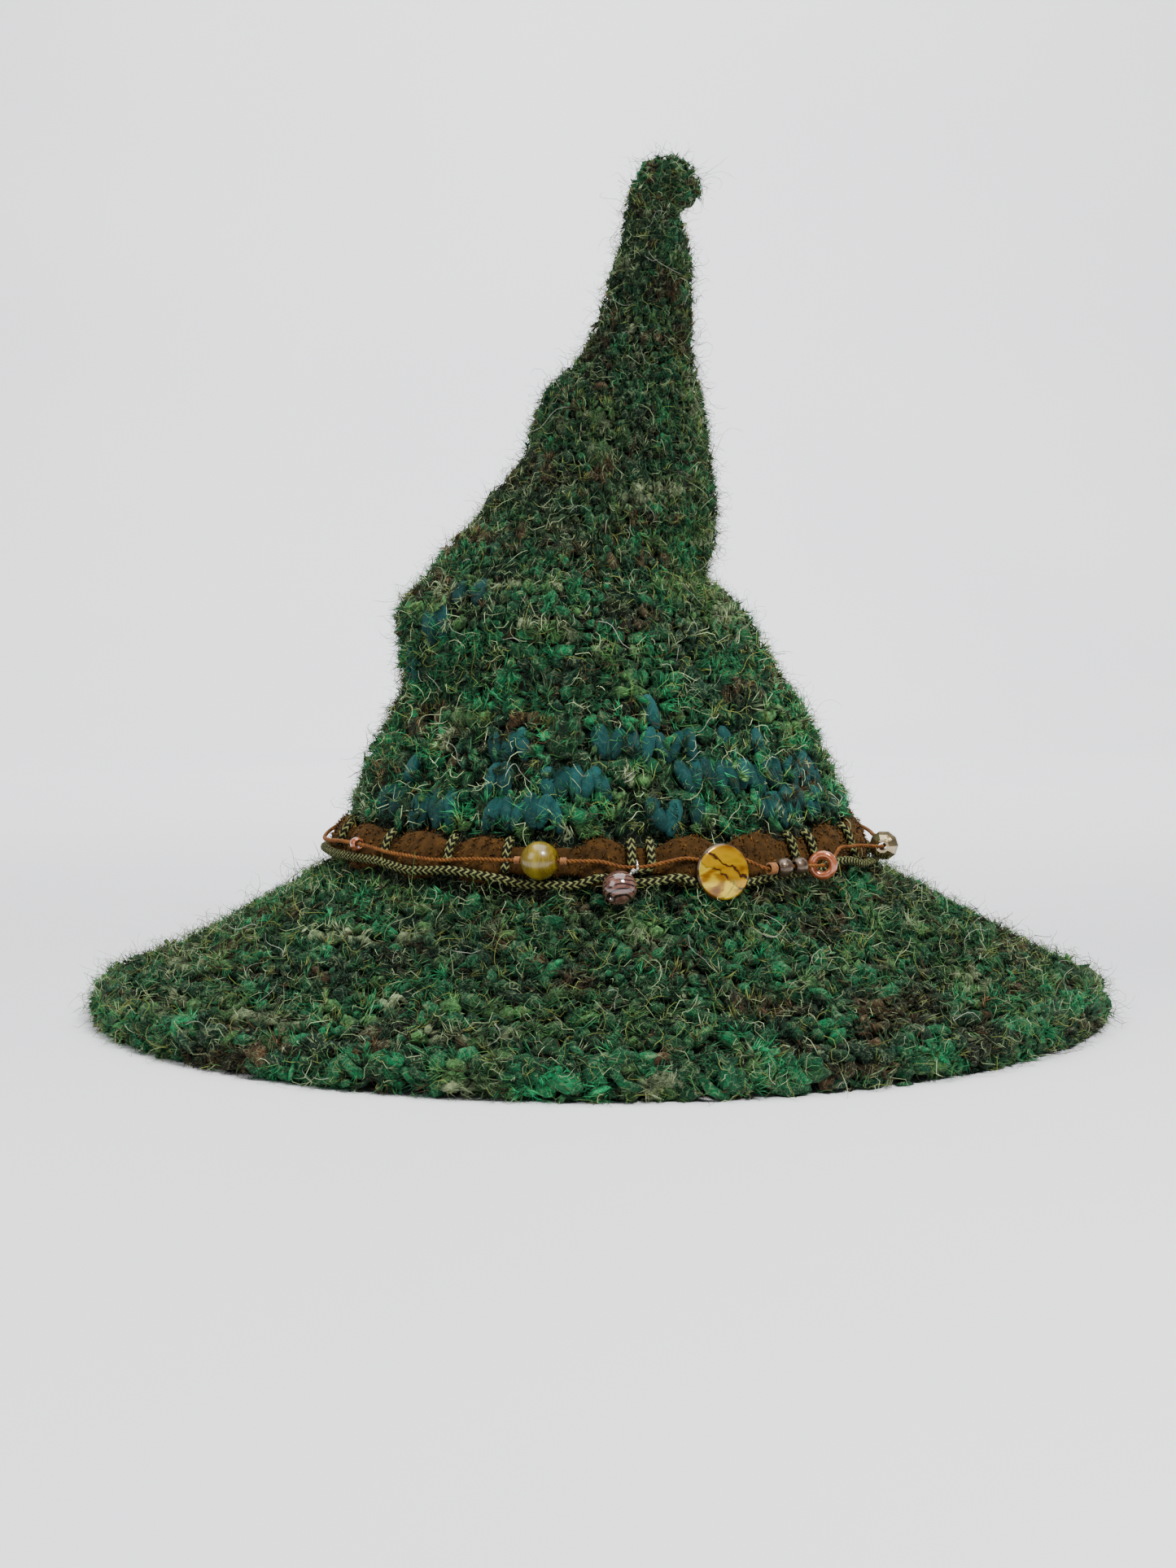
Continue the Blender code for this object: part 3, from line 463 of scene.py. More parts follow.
def shell_material():
    """Gold mother-of-pearl with two dark wavy veins and a pale silky field on one side, a painted sheen."""
    look = Look("gold_shell", {
        "Roughness": 0.2, "Coat Weight": 0.5, "Coat Roughness": 0.03, "Specular IOR Level": 0.3,
    })
    where = look.own_place()
    x, y, _ = look.split(where)
    silk = look.speckle(look.stretched(where, 0.12, 0.30, 0.3), 0.8, 2.0, 0.45, 0.5)
    color = look.tones(silk, (0.15, 0.055, 0.001), (0.52, 0.29, 0.002), 0.34, 0.62)
    wobble = look.times(look.minus(look.speckle(where, 0.26, 2.0), 0.5), 7.0)
    slope = look.minus(look.times(x, -0.62), look.plus(y, wobble))
    for offset, width in ((-1.6, 0.85), (3.4, 1.0)):
        near = look.unsigned(look.plus(slope, offset))
        color = look.mix(look.span(near, width, width * 0.35), color, (0.045, 0.012, 0.002))
    # Painted sheen: a pale field towards the lower left of the face
    field = look.times(look.span(slope, 0.8, 2.2), look.span(silk, 0.42, 0.56))
    color = look.mix(look.times(field, 0.75), color, (0.72, 0.52, 0.03))
    from_middle = look.calc("SQRT", look.plus(look.times(x, x), look.times(y, y)))
    color = look.mix(look.span(from_middle, 9.5, 9.75), color, (0.05, 0.03, 0.012))
    look.wear(color, Metallic=look.times(look.span(silk, 0.3, 0.7), 0.6))
    return look.material


def bronze_material():
    look = Look("bronze_pearl", {
        "Roughness": 0.3, "Metallic": 0.55, "Coat Weight": 0.5, "Coat Roughness": 0.15,
    })
    where = look.own_place()
    cell = look.add("TexVoronoi", {"Vector": where, "Scale": 1.3}, feature="DISTANCE_TO_EDGE")
    crack = cell.outputs["Distance"]
    base = look.tones(look.speckle(where, 0.9, 4.0, 0.65), (0.05, 0.030, 0.017), (0.14, 0.092, 0.055))
    look.wear(look.mix(look.span(crack, 0.05, 0.0, 0.0, 0.7), base, (0.03, 0.02, 0.012)))
    look.relief(look.span(crack, 0.0, 0.08), 0.3, 0.1 * MM)
    return look.material


def copper_material():
    look = Look("salmon_copper", {"Roughness": 0.22, "Coat Weight": 1.0, "Coat Roughness": 0.05})
    cloud = look.speckle(look.own_place(), 0.55, 4.0, 0.6, 0.8)
    base = look.tones(cloud, (0.27, 0.058, 0.016), (0.48, 0.15, 0.06))
    look.wear(base, Metallic=look.span(cloud, 0.3, 0.7, 0.1, 0.5))
    return look.material


def crystal_material():
    """Cut bead with a smoky metal coat."""
    look = Look("smoky_crystal", {"Metallic": 0.75, "Coat Weight": 1.0, "Coat Roughness": 0.02})
    where = look.place()
    base = look.tones(look.speckle(where, 260.0), (0.15, 0.105, 0.045), (0.42, 0.33, 0.17))
    look.wear(base, Roughness=look.span(look.speckle(where, 1400.0), 0.3, 0.7, 0.04, 0.16))
    return look.material


def wire_material():
    look = Look("silver_wire", {"Metallic": 1.0})
    dull = look.speckle(look.place(), 900.0)
    base = look.tones(dull, (0.78, 0.77, 0.74), (0.5, 0.49, 0.46), 0.4, 0.7)
    look.wear(base, Roughness=look.span(dull, 0.3, 0.7, 0.14, 0.34))
    return look.material


def thread_material():
    look = Look("orange_brown_thread", {"Roughness": 0.7, "Sheen Weight": 0.2})
    tone = look.speckle(look.stretched(look.own_place(), 0.5, 0.5, 3.0), 2.0)
    look.wear(look.tones(tone, (0.10, 0.028, 0.003), (0.40, 0.15, 0.02)))
    look.relief(tone, 0.5, 0.2 * MM)
    return look.material


# Small shapes that are repeated. core moves with the length of a copy and skin with its thickness, and
# shade runs from 0 at the root to 1 at the tip: it blends each copy from a darker root colour, painted shade,
# to its own colour.
Shape = namedtuple("Shape", "core skin faces shade")


def unit_rows(rows):
    return rows / np.linalg.norm(rows, axis=1)[:, None]


def shape_of(bm, core=None):
    """The corners and triangles of a small shape, whose lowest corners are its root."""
    bmesh.ops.triangulate(bm, faces=bm.faces)
    bm.verts.index_update()
    points = np.array([v.co[:] for v in bm.verts])
    faces = np.array([[v.index for v in f.verts] for f in bm.faces])
    bm.free()
    spread = points[:, 2] - points[:, 2].min()
    shade = spread / spread.max()
    if core is None:
        return Shape(np.zeros_like(points), points, faces, shade)
    middle = np.array([core(t) for t in points[:, 2]])
    ahead = np.array([core(t + 0.01) for t in points[:, 2]]) - middle
    first = unit_rows(np.cross((0.0, 1.0, 0.0), ahead))
    second = unit_rows(np.cross(ahead, first))
    return Shape(middle, first * points[:, :1] + second * points[:, 1:2], faces, shade)


def knop_shape(seed):
    """An uneven lump of boucle wool, one unit across. Its fibres hide its few sides."""
    bm = bmesh.new()
    bmesh.ops.create_icosphere(bm, subdivisions=1, radius=0.5)
    for v in bm.verts:
        v.co *= 1.1 + 0.9 * noise.noise(v.co * 3.4 + Vector((seed * 7.3, 0.0, 0.0)))
    return shape_of(bm)


def curl_shape(seed):
    """A short curl of thick yarn, one unit across, standing on its two ends."""
    bm = bmesh.new()
    ring = bmesh.ops.create_circle(bm, segments=4, radius=0.17, cap_ends=False)["verts"]
    bmesh.ops.translate(bm, verts=ring, vec=(0.36, 0.0, 0.0))
    bmesh.ops.spin(
        bm, geom=ring + list(bm.edges), cent=(0, 0, 0), axis=(0, -1, 0), dvec=(0, 0.035, 0),
        angle=radians(235), steps=6,
    )
    bmesh.ops.rotate(bm, verts=bm.verts, cent=(0, 0, 0), matrix=Matrix.Rotation(radians(27), 3, "Y"))
    bmesh.ops.holes_fill(bm, edges=bm.edges)
    for v in bm.verts:
        v.co += noise.noise_vector(v.co * 3.0 + Vector((seed * 4.7, 0.0, 0.0))) * 0.08
    bmesh.ops.recalc_face_normals(bm, faces=bm.faces)
    return shape_of(bm)


def leg_shape():
    """One leg of a knitted stitch: a long smooth oval, a little bent."""
    bm = bmesh.new()
    bmesh.ops.create_uvsphere(bm, u_segments=8, v_segments=6, radius=0.5)
    for v in bm.verts:
        v.co.x *= 1.0 + 0.45 * v.co.z
        v.co.x += 0.35 * v.co.z * v.co.z
    return shape_of(bm)


def standing_cone(tip_radius, capped):
    """A three-sided cone or tube one unit long, standing on its root."""
    bm = bmesh.new()
    bmesh.ops.create_cone(bm, cap_ends=capped, segments=3, radius1=1.0, radius2=tip_radius, depth=1.0)
    bmesh.ops.translate(bm, verts=bm.verts, vec=(0, 0, 0.5))
    return bm


def strand_shape():
    """A short straight strand one unit long, three-sided, that tapers to its tip."""
    bm = standing_cone(0.0, True)
    bmesh.ops.remove_doubles(bm, verts=bm.verts, dist=0.001)
    return shape_of(bm, lambda t: (0.0, 0.0, t))


def fibre_shape(bend_deg, wave, rings):
    """A fibre one unit long, pointed at both ends, bent into part of a circle and waved."""
    bm = standing_cone(1.0, False)
    long_edges = [e for e in bm.edges if abs(e.verts[0].co.z - e.verts[1].co.z) > 0.5]
    bmesh.ops.subdivide_edges(bm, edges=long_edges, cuts=rings)
    for v in bm.verts:
        thin = 0.0 if v.co.z < 0.01 or v.co.z > 0.99 else 1.0 - 0.4 * v.co.z
        v.co.x *= thin
        v.co.y *= thin
    bmesh.ops.remove_doubles(bm, verts=bm.verts, dist=0.001)
    bend = radians(bend_deg)

    def core(t):
        return ((1.0 - cos(bend * t)) / bend, wave * sin(2.2 * pi * t), sin(bend * t) / bend)

    return shape_of(bm, core)


KNOPS = [knop_shape(seed) for seed in range(8)]
CURLS = [curl_shape(seed) for seed in range(4)]
LEG = leg_shape()
STRAND = strand_shape()
FUZZ, HAIRS, STRAYS = (
    [fibre_shape(*row) for row in rows] for rows in (
        ((30, 0.0, 1), (75, 0.1, 1), (55, -0.1, 1), (100, 0.0, 1)),
        ((110, 0.1, 3), (190, -0.1, 3), (45, 0.16, 2), (70, -0.12, 2)),
        ((40, 0.08, 7), (100, 0.12, 8), (170, -0.08, 8)),
    )
)
# How far apart in millimetres the copies of a shape lie in the coordinates that their grain reads
OWN_APART = (2.37, 1.91, 3.13)
# The columns of a copy's row: its shape, place, axes, length, thicknesses and its colours at root and tip,
# the root's darkened as painted shade
PLACE, AXES, LENGTH, THICK = slice(1, 4), slice(4, 13), 13, slice(14, 17)
SHADED_ROOT, TIP = slice(17, 20), slice(20, 23)


class Copies:
    """Places for the copies of some small shapes, which join makes into one mesh."""

    def __init__(self, shapes):
        self.shapes = shapes
        self.rows = []

    def add(self, kind, point, axes, length, size, root, tip):
        """axes are the copy's own x, y and z, size its x, y and z thickness, root and tip its colours, the
        root's a darker painted shade.
        """
        self.rows.append((kind, *point, *axes[0], *axes[1], *axes[2], length, *size, *root, *tip))

    def join(self, name, material, slot):
        table = np.array(self.rows, float)
        points, faces, colors, own = [], [], [], []
        count = 0
        for kind, shape in enumerate(self.shapes):
            rows = table[table[:, 0] == kind]
            skin = shape.skin[None] * rows[:, None, THICK]
            local = shape.core[None] * rows[:, LENGTH, None, None] + skin
            turned = np.einsum("nkj,nji->nki", local, rows[:, AXES].reshape(-1, 3, 3))
            shade = shape.shade[None, :, None]
            numbers = np.arange(len(rows))[:, None, None]
            points.append((turned + rows[:, None, PLACE]).reshape(-1, 3))
            faces.append((shape.faces[None] + count + len(shape.skin) * numbers).reshape(-1, 3))
            colors.append((rows[:, None, SHADED_ROOT] * (1.0 - shade) + rows[:, None, TIP] * shade).reshape(-1, 3))
            own.append((skin / MM + numbers * OWN_APART).reshape(-1, 3))
            count += len(shape.skin) * len(rows)
        points = np.concatenate(points)
        points[:, 2] = np.maximum(points[:, 2], FLOOR_CLEAR)
        mesh = bpy.data.meshes.new(name)
        mesh.from_pydata(points, [], np.concatenate(faces))
        paint(mesh, np.concatenate(colors))
        layer = mesh.attributes.new("own", "FLOAT_VECTOR", "POINT")
        layer.data.foreach_set("vector", np.concatenate(own).ravel())
        add_piece(name, mesh, material, slot)


def paint(mesh, colors):
    """Stores a colour for each corner point as the attribute that the yarn materials read."""
    layer = mesh.color_attributes.new("yarn", "FLOAT_COLOR", "POINT")
    rgba = np.ones((len(mesh.vertices), 4))
    rgba[:, :3] = colors
    layer.data.foreach_set("color", rgba.ravel())


def add_piece(name, mesh, material, slot, nodes=()):
    obj = bpy.data.objects.new(name, mesh)
    bpy.context.scene.collection.objects.link(obj)
    mesh.materials.append(material)
    mesh.shade_smooth()
    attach(obj, "root")
    if nodes:
        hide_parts(*nodes)


def mesh_of(name, bm):
    mesh = bpy.data.meshes.new(name)
    bm.to_mesh(mesh)
    bm.free()
    return mesh


def closed_mesh(name, bm):
    bmesh.ops.recalc_face_normals(bm, faces=bm.faces)
    return mesh_of(name, bm)


def add_solid(name, bm, material, slot, nodes=()):
    add_piece(name, closed_mesh(name, bm), material, slot, nodes)


# Where the stitches lie

Spot = namedtuple("Spot", "point normal up row angle width")


def outward(angle):
    return Vector((sin(angle), -cos(angle), 0.0))


def arc_lengths(points):
    """How far along a line of points each of them lies."""
    return np.concatenate([[0.0], np.cumsum(np.linalg.norm(np.diff(points, axis=0), axis=1))])


def merged_copy(node):
    bm = bmesh.new()
    bm.from_mesh(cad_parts[node].data)
    bmesh.ops.remove_doubles(bm, verts=bm.verts, dist=MERGE)
    return bm


def rounded_copy(node, smooth):
    """The node's surface in squares, made finer and rounder."""
    bm = merged_copy(node)
    bmesh.ops.join_triangles(
        bm, faces=bm.faces, cmp_seam=False, cmp_sharp=False, cmp_uvs=False, cmp_vcols=False,
        cmp_materials=False, angle_face_threshold=radians(40), angle_shape_threshold=radians(60),
    )
    bmesh.ops.subdivide_edges(bm, edges=bm.edges, cuts=1, use_grid_fill=True, smooth=smooth)
    bm.normal_update()
    return bm


def surface_tree(node):
    """The node's surface for finding places on it, smoothed once so that its facets don't show."""
    bm = merged_copy(node)
    bmesh.ops.subdivide_edges(bm, edges=bm.edges, cuts=1, use_grid_fill=True, smooth=0.6)
    tree = BVHTree.FromBMesh(bm)
    bm.free()
    return tree


def spots_at(hit, up, row, angle, width):
    """The spot where a ray met a surface, in a list that is empty when it met nothing."""
    point, normal = hit[:2]
    if point is None:
        return []
    up = (up - normal * up.dot(normal)).normalized()
    return [Spot(point, normal, up, row, angle, width)]


def ring_angles(count, row, jitter):
    """Angles round one row of stitches, which stand between those of the row before."""
    for k in range(count):
        yield 2 * pi * (k + 0.5 * (row % 2) + rng.uniform(-jitter, jitter)) / count


def crown_rows():
    """Each knitted row of the crown as its centre, turn, reach and stitch width."""
    along = arc_lengths(SPINE[:, :3])
    place = 0.0
    while place < along[-1]:
        x, y, height, turn, reach, width = [np.interp(place, along, column) for column in SPINE.T]
        yield Vector((x, y, height)) * MM, radians(turn), reach * MM, width * MM
        place += width * ROW_SHARE


def crown_spots(tree):
    """One spot for each stitch on the outside of the crown and its peak."""
    spots = []
    for row, (centre, turn, reach, width) in enumerate(crown_rows()):
        across = Vector((cos(turn), 0.0, -sin(turn)))
        up = Vector((sin(turn), 0.0, cos(turn)))

        def shoot(angle):
            toward = across * sin(angle) + Vector((0.0, -cos(angle), 0.0))
            return tree.ray_cast(centre + toward * reach, -toward, reach)

        probe = [shoot(radians(a))[0] for a in range(0, 360, 30)]
        radius = np.mean([(p - centre).length for p in probe if p is not None] or [width])
        for angle in ring_angles(max(5, round(2 * pi * radius / width)), row, 0.2):
            spots += spots_at(shoot(angle), up, row, angle, width)
    return spots


def hollow_spots(tree):
    """Spots on the wall inside the crown."""
    spots = []
    height = HOLLOW_START
    row = 0
    while height < HOLLOW_TOP:
        x, y = (np.interp(height / MM, LOW_HEIGHT, column) * MM for column in (LOW_X, LOW_Y))
        centre = Vector((x, y, height))
        radius = (tree.ray_cast(centre, Vector((1, 0, 0)))[0] - centre).length
        for angle in ring_angles(max(6, round(2 * pi * radius / HOLLOW_WIDTH)), row, 0.2):
            spots += spots_at(tree.ray_cast(centre, outward(angle)), UP, row, angle, HOLLOW_WIDTH)
        height += HOLLOW_WIDTH * ROW_SHARE
        row += 1
    return spots


def rim_middle(tree, angle):
    """Distance of the middle of the rolled rim from the axis."""
    hit = tree.ray_cast(outward(angle) * 0.25 + Vector((0, 0, RIM_ROLL)), -outward(angle))[0]
    return hypot(hit.x, hit.y) - RIM_ROLL


def brim_spots(tree, row_height, stitch, start, side):
    """Spots on the brim from the crown to the rim. side is 1 for its upper and -1 for its under side."""
    spots = []
    reach = rim_middle(tree, pi / 2) - FOOT_HALF_WIDTH
    for row in range(int((reach - start) / row_height)):
        share = (start + (row + 0.5) * row_height) / reach
        count = round(2 * pi * (FOOT_HALF_DEPTH + share * reach) / stitch)
        for angle in ring_angles(count, row, 0.22):
            foot = 1.0 / hypot(sin(angle) / FOOT_HALF_WIDTH, cos(angle) / FOOT_HALF_DEPTH)
            shift = rng.uniform(-0.25, 0.25) * row_height / reach
            radius = foot + (share + shift) * (rim_middle(tree, angle) - foot)
            above = outward(angle) * radius + Vector((0, 0, 0.03 + 0.1 * side))
            hit = tree.ray_cast(above, Vector((0, 0, -side)))
            spots += spots_at(hit, -outward(angle), row, angle, stitch)
    return spots


def rim_spots(tree):
    """Spots on the rolled rim, in rows round its roll."""
    spots = []
    for row, turn_deg in enumerate(RIM_TURNS_DEG):
        turn = radians(turn_deg)
        for angle in ring_angles(round(2 * pi * RIM_RADIUS / RIM_STITCH), row, 0.25):
            middle = outward(angle) * rim_middle(tree, angle) + Vector((0, 0, RIM_ROLL))
            toward = outward(angle) * cos(turn) + Vector((0, 0, sin(turn)))
            hit = tree.ray_cast(middle + toward * 0.015, -toward, 0.015)
            spots += spots_at(hit, UP, row, angle, RIM_STITCH)
    return spots


# The yarn's colours


# Painted light and shade: how much lighter or darker the yarn is drawn at the spot's height
def painted_light_at(spot):
    return np.interp(spot.point.z / MM, PAINTED_LIGHT_HEIGHTS, PAINTED_LIGHT_LEVELS)


def drift(spot, along, across, seed):
    """Slow change of colour along a row of stitches, from -1 to 1."""
    reach = hypot(spot.point.x, spot.point.y)
    return noise.noise(Vector((spot.angle * reach / along, spot.row * across, seed)))


def brown_at(spot):
    """How much the brown patches push the yarn at a spot towards brown."""
    total = 0.0
    for patch in BROWN_PATCHES:
        turn = (spot.angle * 180.0 / pi - patch.angle + 180.0) % 360.0 - 180.0
        off = hypot((spot.point.z / MM - patch.height) / patch.high, turn / patch.wide)
        total += patch.amount * max(0.0, 1.0 - off * off)
    return total


def yarn_at(spot, brown=0.0, bright=0.0):
    """The colour of the yarn at a spot, with painted light and shade by height. brown and bright push the
    choice to browns or to fresh greens.
    """
    brown += brown_at(spot)
    if BRIM_TOP < spot.point.z < COLUMNS_FROM:
        bright += 0.09
        brown -= 0.1
    run = drift(spot, 0.026, 0.4, 3.7) * 1.15 + rng.normal(0.0, 0.11)
    if run < -0.40 + brown:
        color = BROWN if rng.random() < 0.6 else UMBER
    elif run < -0.16:
        color = PINE if rng.random() < 0.7 else FOREST
    elif run < 0.20 + bright:
        color = BRIGHT if rng.random() < 0.25 + 2 * bright else EMERALD
    elif run < 0.36:
        color = FOREST
    elif run < 0.60:
        color = SAGE
    else:
        color = PALE * 0.5
    deep = max(1.0 + noise.noise(spot.point * 95.0) + 0.5 * noise.noise(spot.point * 40.0), 0.2)
    # The yarn's colour times its random tone and the painted light and shade by height
    return np.clip(color * deep * painted_light_at(spot) * rng.uniform(0.7, 1.3), 0.0, 1.0)


def tuft_color(color):
    """A tuft's own yarn, now and then with another fibre carded in."""
    roll = rng.random()
    tone = rng.uniform(0.6, 1.9)
    if roll < 0.05:
        return MUSTARD * 0.7 * tone
    if roll < 0.11:
        return PALE * 0.5 * tone
    if roll < 0.14:
        return BROWN * tone
    return color * tone + SAGE * 0.05


def fuzz_color(color):
    """A short loose fibre: the yarn's own colour, or a paler or browner one."""
    roll = rng.random()
    if roll < 0.07:
        return MUSTARD
    if roll < 0.13:
        return BROWN * 1.4
    if roll < 0.40:
        return PALE * rng.uniform(0.5, 1.1)
    return color * 1.4 + SAGE * 0.3


def hair_color(color):
    """The longer hairs: mostly pale, straw or brown."""
    pick = rng.integers(6)
    if pick == 0:
        return color * 1.6 + SAGE * 0.4
    return (PALE * 1.5, PALE, MUSTARD * 1.4, SAGE * 1.2, SAGE * 1.9)[pick - 1] * rng.uniform(0.7, 1.3)


def wisp_color(color):
    """Brown and mustard strands that run between the tufts."""
    return (BROWN, UMBER, BROWN * 1.5, MUSTARD * 0.8)[rng.integers(4)]


def stray_color(color):
    """The few longest hairs."""
    return (PALE * 1.3, MUSTARD * 1.4, BROWN * 1.8, SAGE * 1.8, STRAY_GREY)[rng.integers(5)]


# What grows on the spots. A dyed and shaded spot is a spot paired with the colour of its yarn, painted light
# and shade by height included, and share is how many grow on each. Sizes and lifts are in stitch widths, and
# the lengths and thicknesses of fibres in mm.


def any_spin(spot):
    return rng.uniform(0, pi)


def column_spin(spot):
    """Tufts stand in columns on the tall upper cone and lie any way below it."""
    return rng.normal(pi / 2, 0.4) if spot.point.z > COLUMNS_FROM else rng.uniform(0, pi)


def row_spin(spot):
    return rng.normal(0.0, 0.6)


Tufts = namedtuple("Tufts", "share size lift spin", defaults=(any_spin,))
# A fan of strands from one root, which lies up to high stitch widths up. Its length is in stitch widths.
Plush = namedtuple("Plush", "share strands length thick spin high", defaults=(any_spin, 0.5))
# stand is 0 lying flat to 1 standing out, and pick chooses a fibre's colour from that of its yarn.
Fibres = namedtuple("Fibres", "share length thick stand pick high spin", defaults=(0.7, None))


def flat_at(spot, turn):
    """The direction that lies flat on the surface at a turn from its own side."""
    return spot.up.cross(spot.normal) * cos(turn) + spot.up * sin(turn)


def turned_axes(spot, spin, tilt):
    """The spot's own axes, spun about its normal and tipped at random, as x, y and z rows."""
    z = (spot.normal + Vector(rng.uniform(-tilt, tilt, 3))).normalized()
    y = z.cross(flat_at(spot, spin)).normalized()
    return y.cross(z), y, z


def strand_axes(z):
    x = z.cross(Vector(rng.normal(0, 1, 3))).normalized()
    return x, z.cross(x), z


def near_spot(spot, low, high):
    """A place near the spot, low to high stitch widths off the surface."""
    at = spot.point + spot.normal * spot.width * rng.uniform(low, high)
    side = spot.up.cross(spot.normal)
    return at + (side * rng.uniform(-0.5, 0.5) + spot.up * rng.uniform(-0.5, 0.5)) * spot.width


def grow_tufts(copies, spot, color, tufts):
    """One small loose tuft between or on the knops."""
    big = spot.width * tufts.size * rng.uniform(0.6, 1.3)
    axes = turned_axes(spot, tufts.spin(spot), 0.7)
    at = spot.point + spot.normal * spot.width * tufts.lift * rng.uniform(0.6, 1.2)
    at += axes[0] * spot.width * rng.uniform(-0.5, 0.5) + axes[1] * spot.width * rng.uniform(-0.5, 0.5)
    extent = (big * rng.uniform(1.1, 1.9), big * rng.uniform(0.5, 0.8), big * rng.uniform(0.5, 0.8))
    shown = np.clip(color * rng.uniform(0.8, 1.4), 0.0, 1.0)
    # Darker towards the root: painted shade
    copies.add(rng.integers(len(copies.shapes)), at, axes, 0.0, extent, shown * 0.3, shown)


def grow_plush(copies, spot, color, plush):
    """One tuft of the yarn's own fibres."""
    flat = flat_at(spot, plush.spin(spot) + pi * rng.integers(2))
    across = flat.cross(spot.normal)
    root = near_spot(spot, 0.05, plush.high)
    lean = rng.uniform(0.15, 0.7)
    tone = tuft_color(color)
    for _ in range(plush.strands):
        z = flat * (1.1 - lean) + spot.normal * (lean + rng.normal(0, 0.2)) + across * rng.normal(0, 0.42)
        axes = strand_axes(z.normalized())
        at = root + (flat * rng.normal(0, 0.1) + across * rng.normal(0, 0.1)) * spot.width
        strength = rng.lognormal(-0.05, 0.5)
        faded = PALE * 0.12 * max(strength - 1.0, 0.0)
        shown = np.clip(tone * min(strength, 1.7) + faded, 0.0, 0.9)
        length = spot.width * plush.length * rng.uniform(0.6, 1.4)
        # Each strand darkens to its root: painted shade
        copies.add(0, at, axes, length, (plush.thick * MM,) * 3, shown * 0.15, shown)


def grow_fibres(copies, spot, color, fibres):
    """One fine fibre."""
    spin = fibres.spin
    turn = rng.uniform(0, 2 * pi) if spin is None else spin(spot) + pi * rng.integers(2)
    rise = fibres.stand * rng.uniform(0.3, 1.4)
    z = (flat_at(spot, turn) * (1.0 - min(rise, 0.95)) + spot.normal * rise).normalized()
    axes = strand_axes(z)
    at = near_spot(spot, 0.0, fibres.high)
    # The fibre's colour with the painted light and shade by height
    shown = fibres.pick(color) * painted_light_at(spot)
    kind = rng.integers(len(copies.shapes))
    length = fibres.length * MM * rng.uniform(0.5, 1.5)
    # Darker towards the root: painted shade
    copies.add(kind, at, axes, length, (fibres.thick * MM,) * 3, shown * 0.55, shown)


GROWERS = {Tufts: grow_tufts, Plush: grow_plush, Fibres: grow_fibres}


def add_wool(name, shapes, wool, *rows):
    """One piece of small copies. Each row is some dyed and shaded spots and what grows on them."""
    copies = Copies(shapes)
    for dyed_and_shaded, growth in rows:
        for spot, color in dyed_and_shaded:
            for _ in range(rng.poisson(growth.share)):
                GROWERS[type(growth)](copies, spot, color, growth)
    copies.join(name, wool, GREEN_KNIT)


def add_knops(name, wool, spots, size, lift, brown=0.0, bright=0.0, curl_share=0.35, spin=any_spin):
    """A piece of knops and curls of boucle yarn on the spots. Returns the dyed and shaded spots."""
    copies = Copies(KNOPS + CURLS)
    dyed_and_shaded = []
    for spot in spots:
        color = yarn_at(spot, brown, bright)
        dyed_and_shaded.append((spot, color))
        full = np.interp(spot.point.z / MM, THIN_PEAK, (1.0, 1.3))
        big = spot.width * size * full * rng.uniform(0.65, 1.3)
        axes = turned_axes(spot, spin(spot), 0.45)
        if rng.random() < curl_share:
            kind = len(KNOPS) + rng.integers(len(CURLS))
            extent = (big * 1.4, big * 1.3, big * 1.3)
        else:
            kind = rng.integers(len(KNOPS))
            extent = (big * rng.uniform(0.9, 1.5), big * rng.uniform(0.7, 1.0), big * rng.uniform(0.8, 1.1))
        at = spot.point + spot.normal * big * (lift + rng.uniform(-0.12, 0.12))
        # Each knop darkens to near black on its lower side: painted shade
        copies.add(kind, at, axes, 0.0, extent, color * 0.08 + PAINTED_ROOT_SHADE * 0.3, color)
    copies.join(name, wool, GREEN_KNIT)
    return dyed_and_shaded


def ground_mesh(node):
    """The knitted ground under the knops: a dense uneven copy of the node's surface, coloured near black as
    painted shade between the knops.
    """
    bm = rounded_copy(node, 0.5)
    moved = []
    colors = []
    for v in bm.verts:
        lump = noise.noise(v.co * 210.0) * 0.7 + noise.noise(v.co * 480.0) * 0.5
        thin = np.interp(v.co.z / MM, THIN_PEAK, (1.0, 0.1))
        moved.append(v.co + v.normal * (GROUND_LUMPS * lump - GROUND_SINK) * thin)
        patch = noise.noise(v.co * 34.0 + Vector((9.0, 0, 0)))
        # Painted shade: about a fifth of the yarn's colour, darker in the hollows and lighter on the lumps
        colors.append((UMBER if patch < -0.15 else PINE) * (0.22 + 0.18 * lump))
    for v, place in zip(bm.verts, moved):
        v.co = place
        v.co.z = max(v.co.z, FLOOR_CLEAR)
    mesh = mesh_of(node + "_ground", bm)
    paint(mesh, np.clip(np.array(colors), 0.0, 1.0))
    return mesh


def in_teal(spot):
    angle_deg = spot.angle * 180.0 / pi
    for run in TEAL_RUNS:
        near = abs(spot.point.z - run.height * MM) < TEAL_HALF_HEIGHT
        if near and (angle_deg - run.start) % 360.0 <= (run.end - run.start) % 360.0:
            return rng.random() < run.share - 0.1
    return False


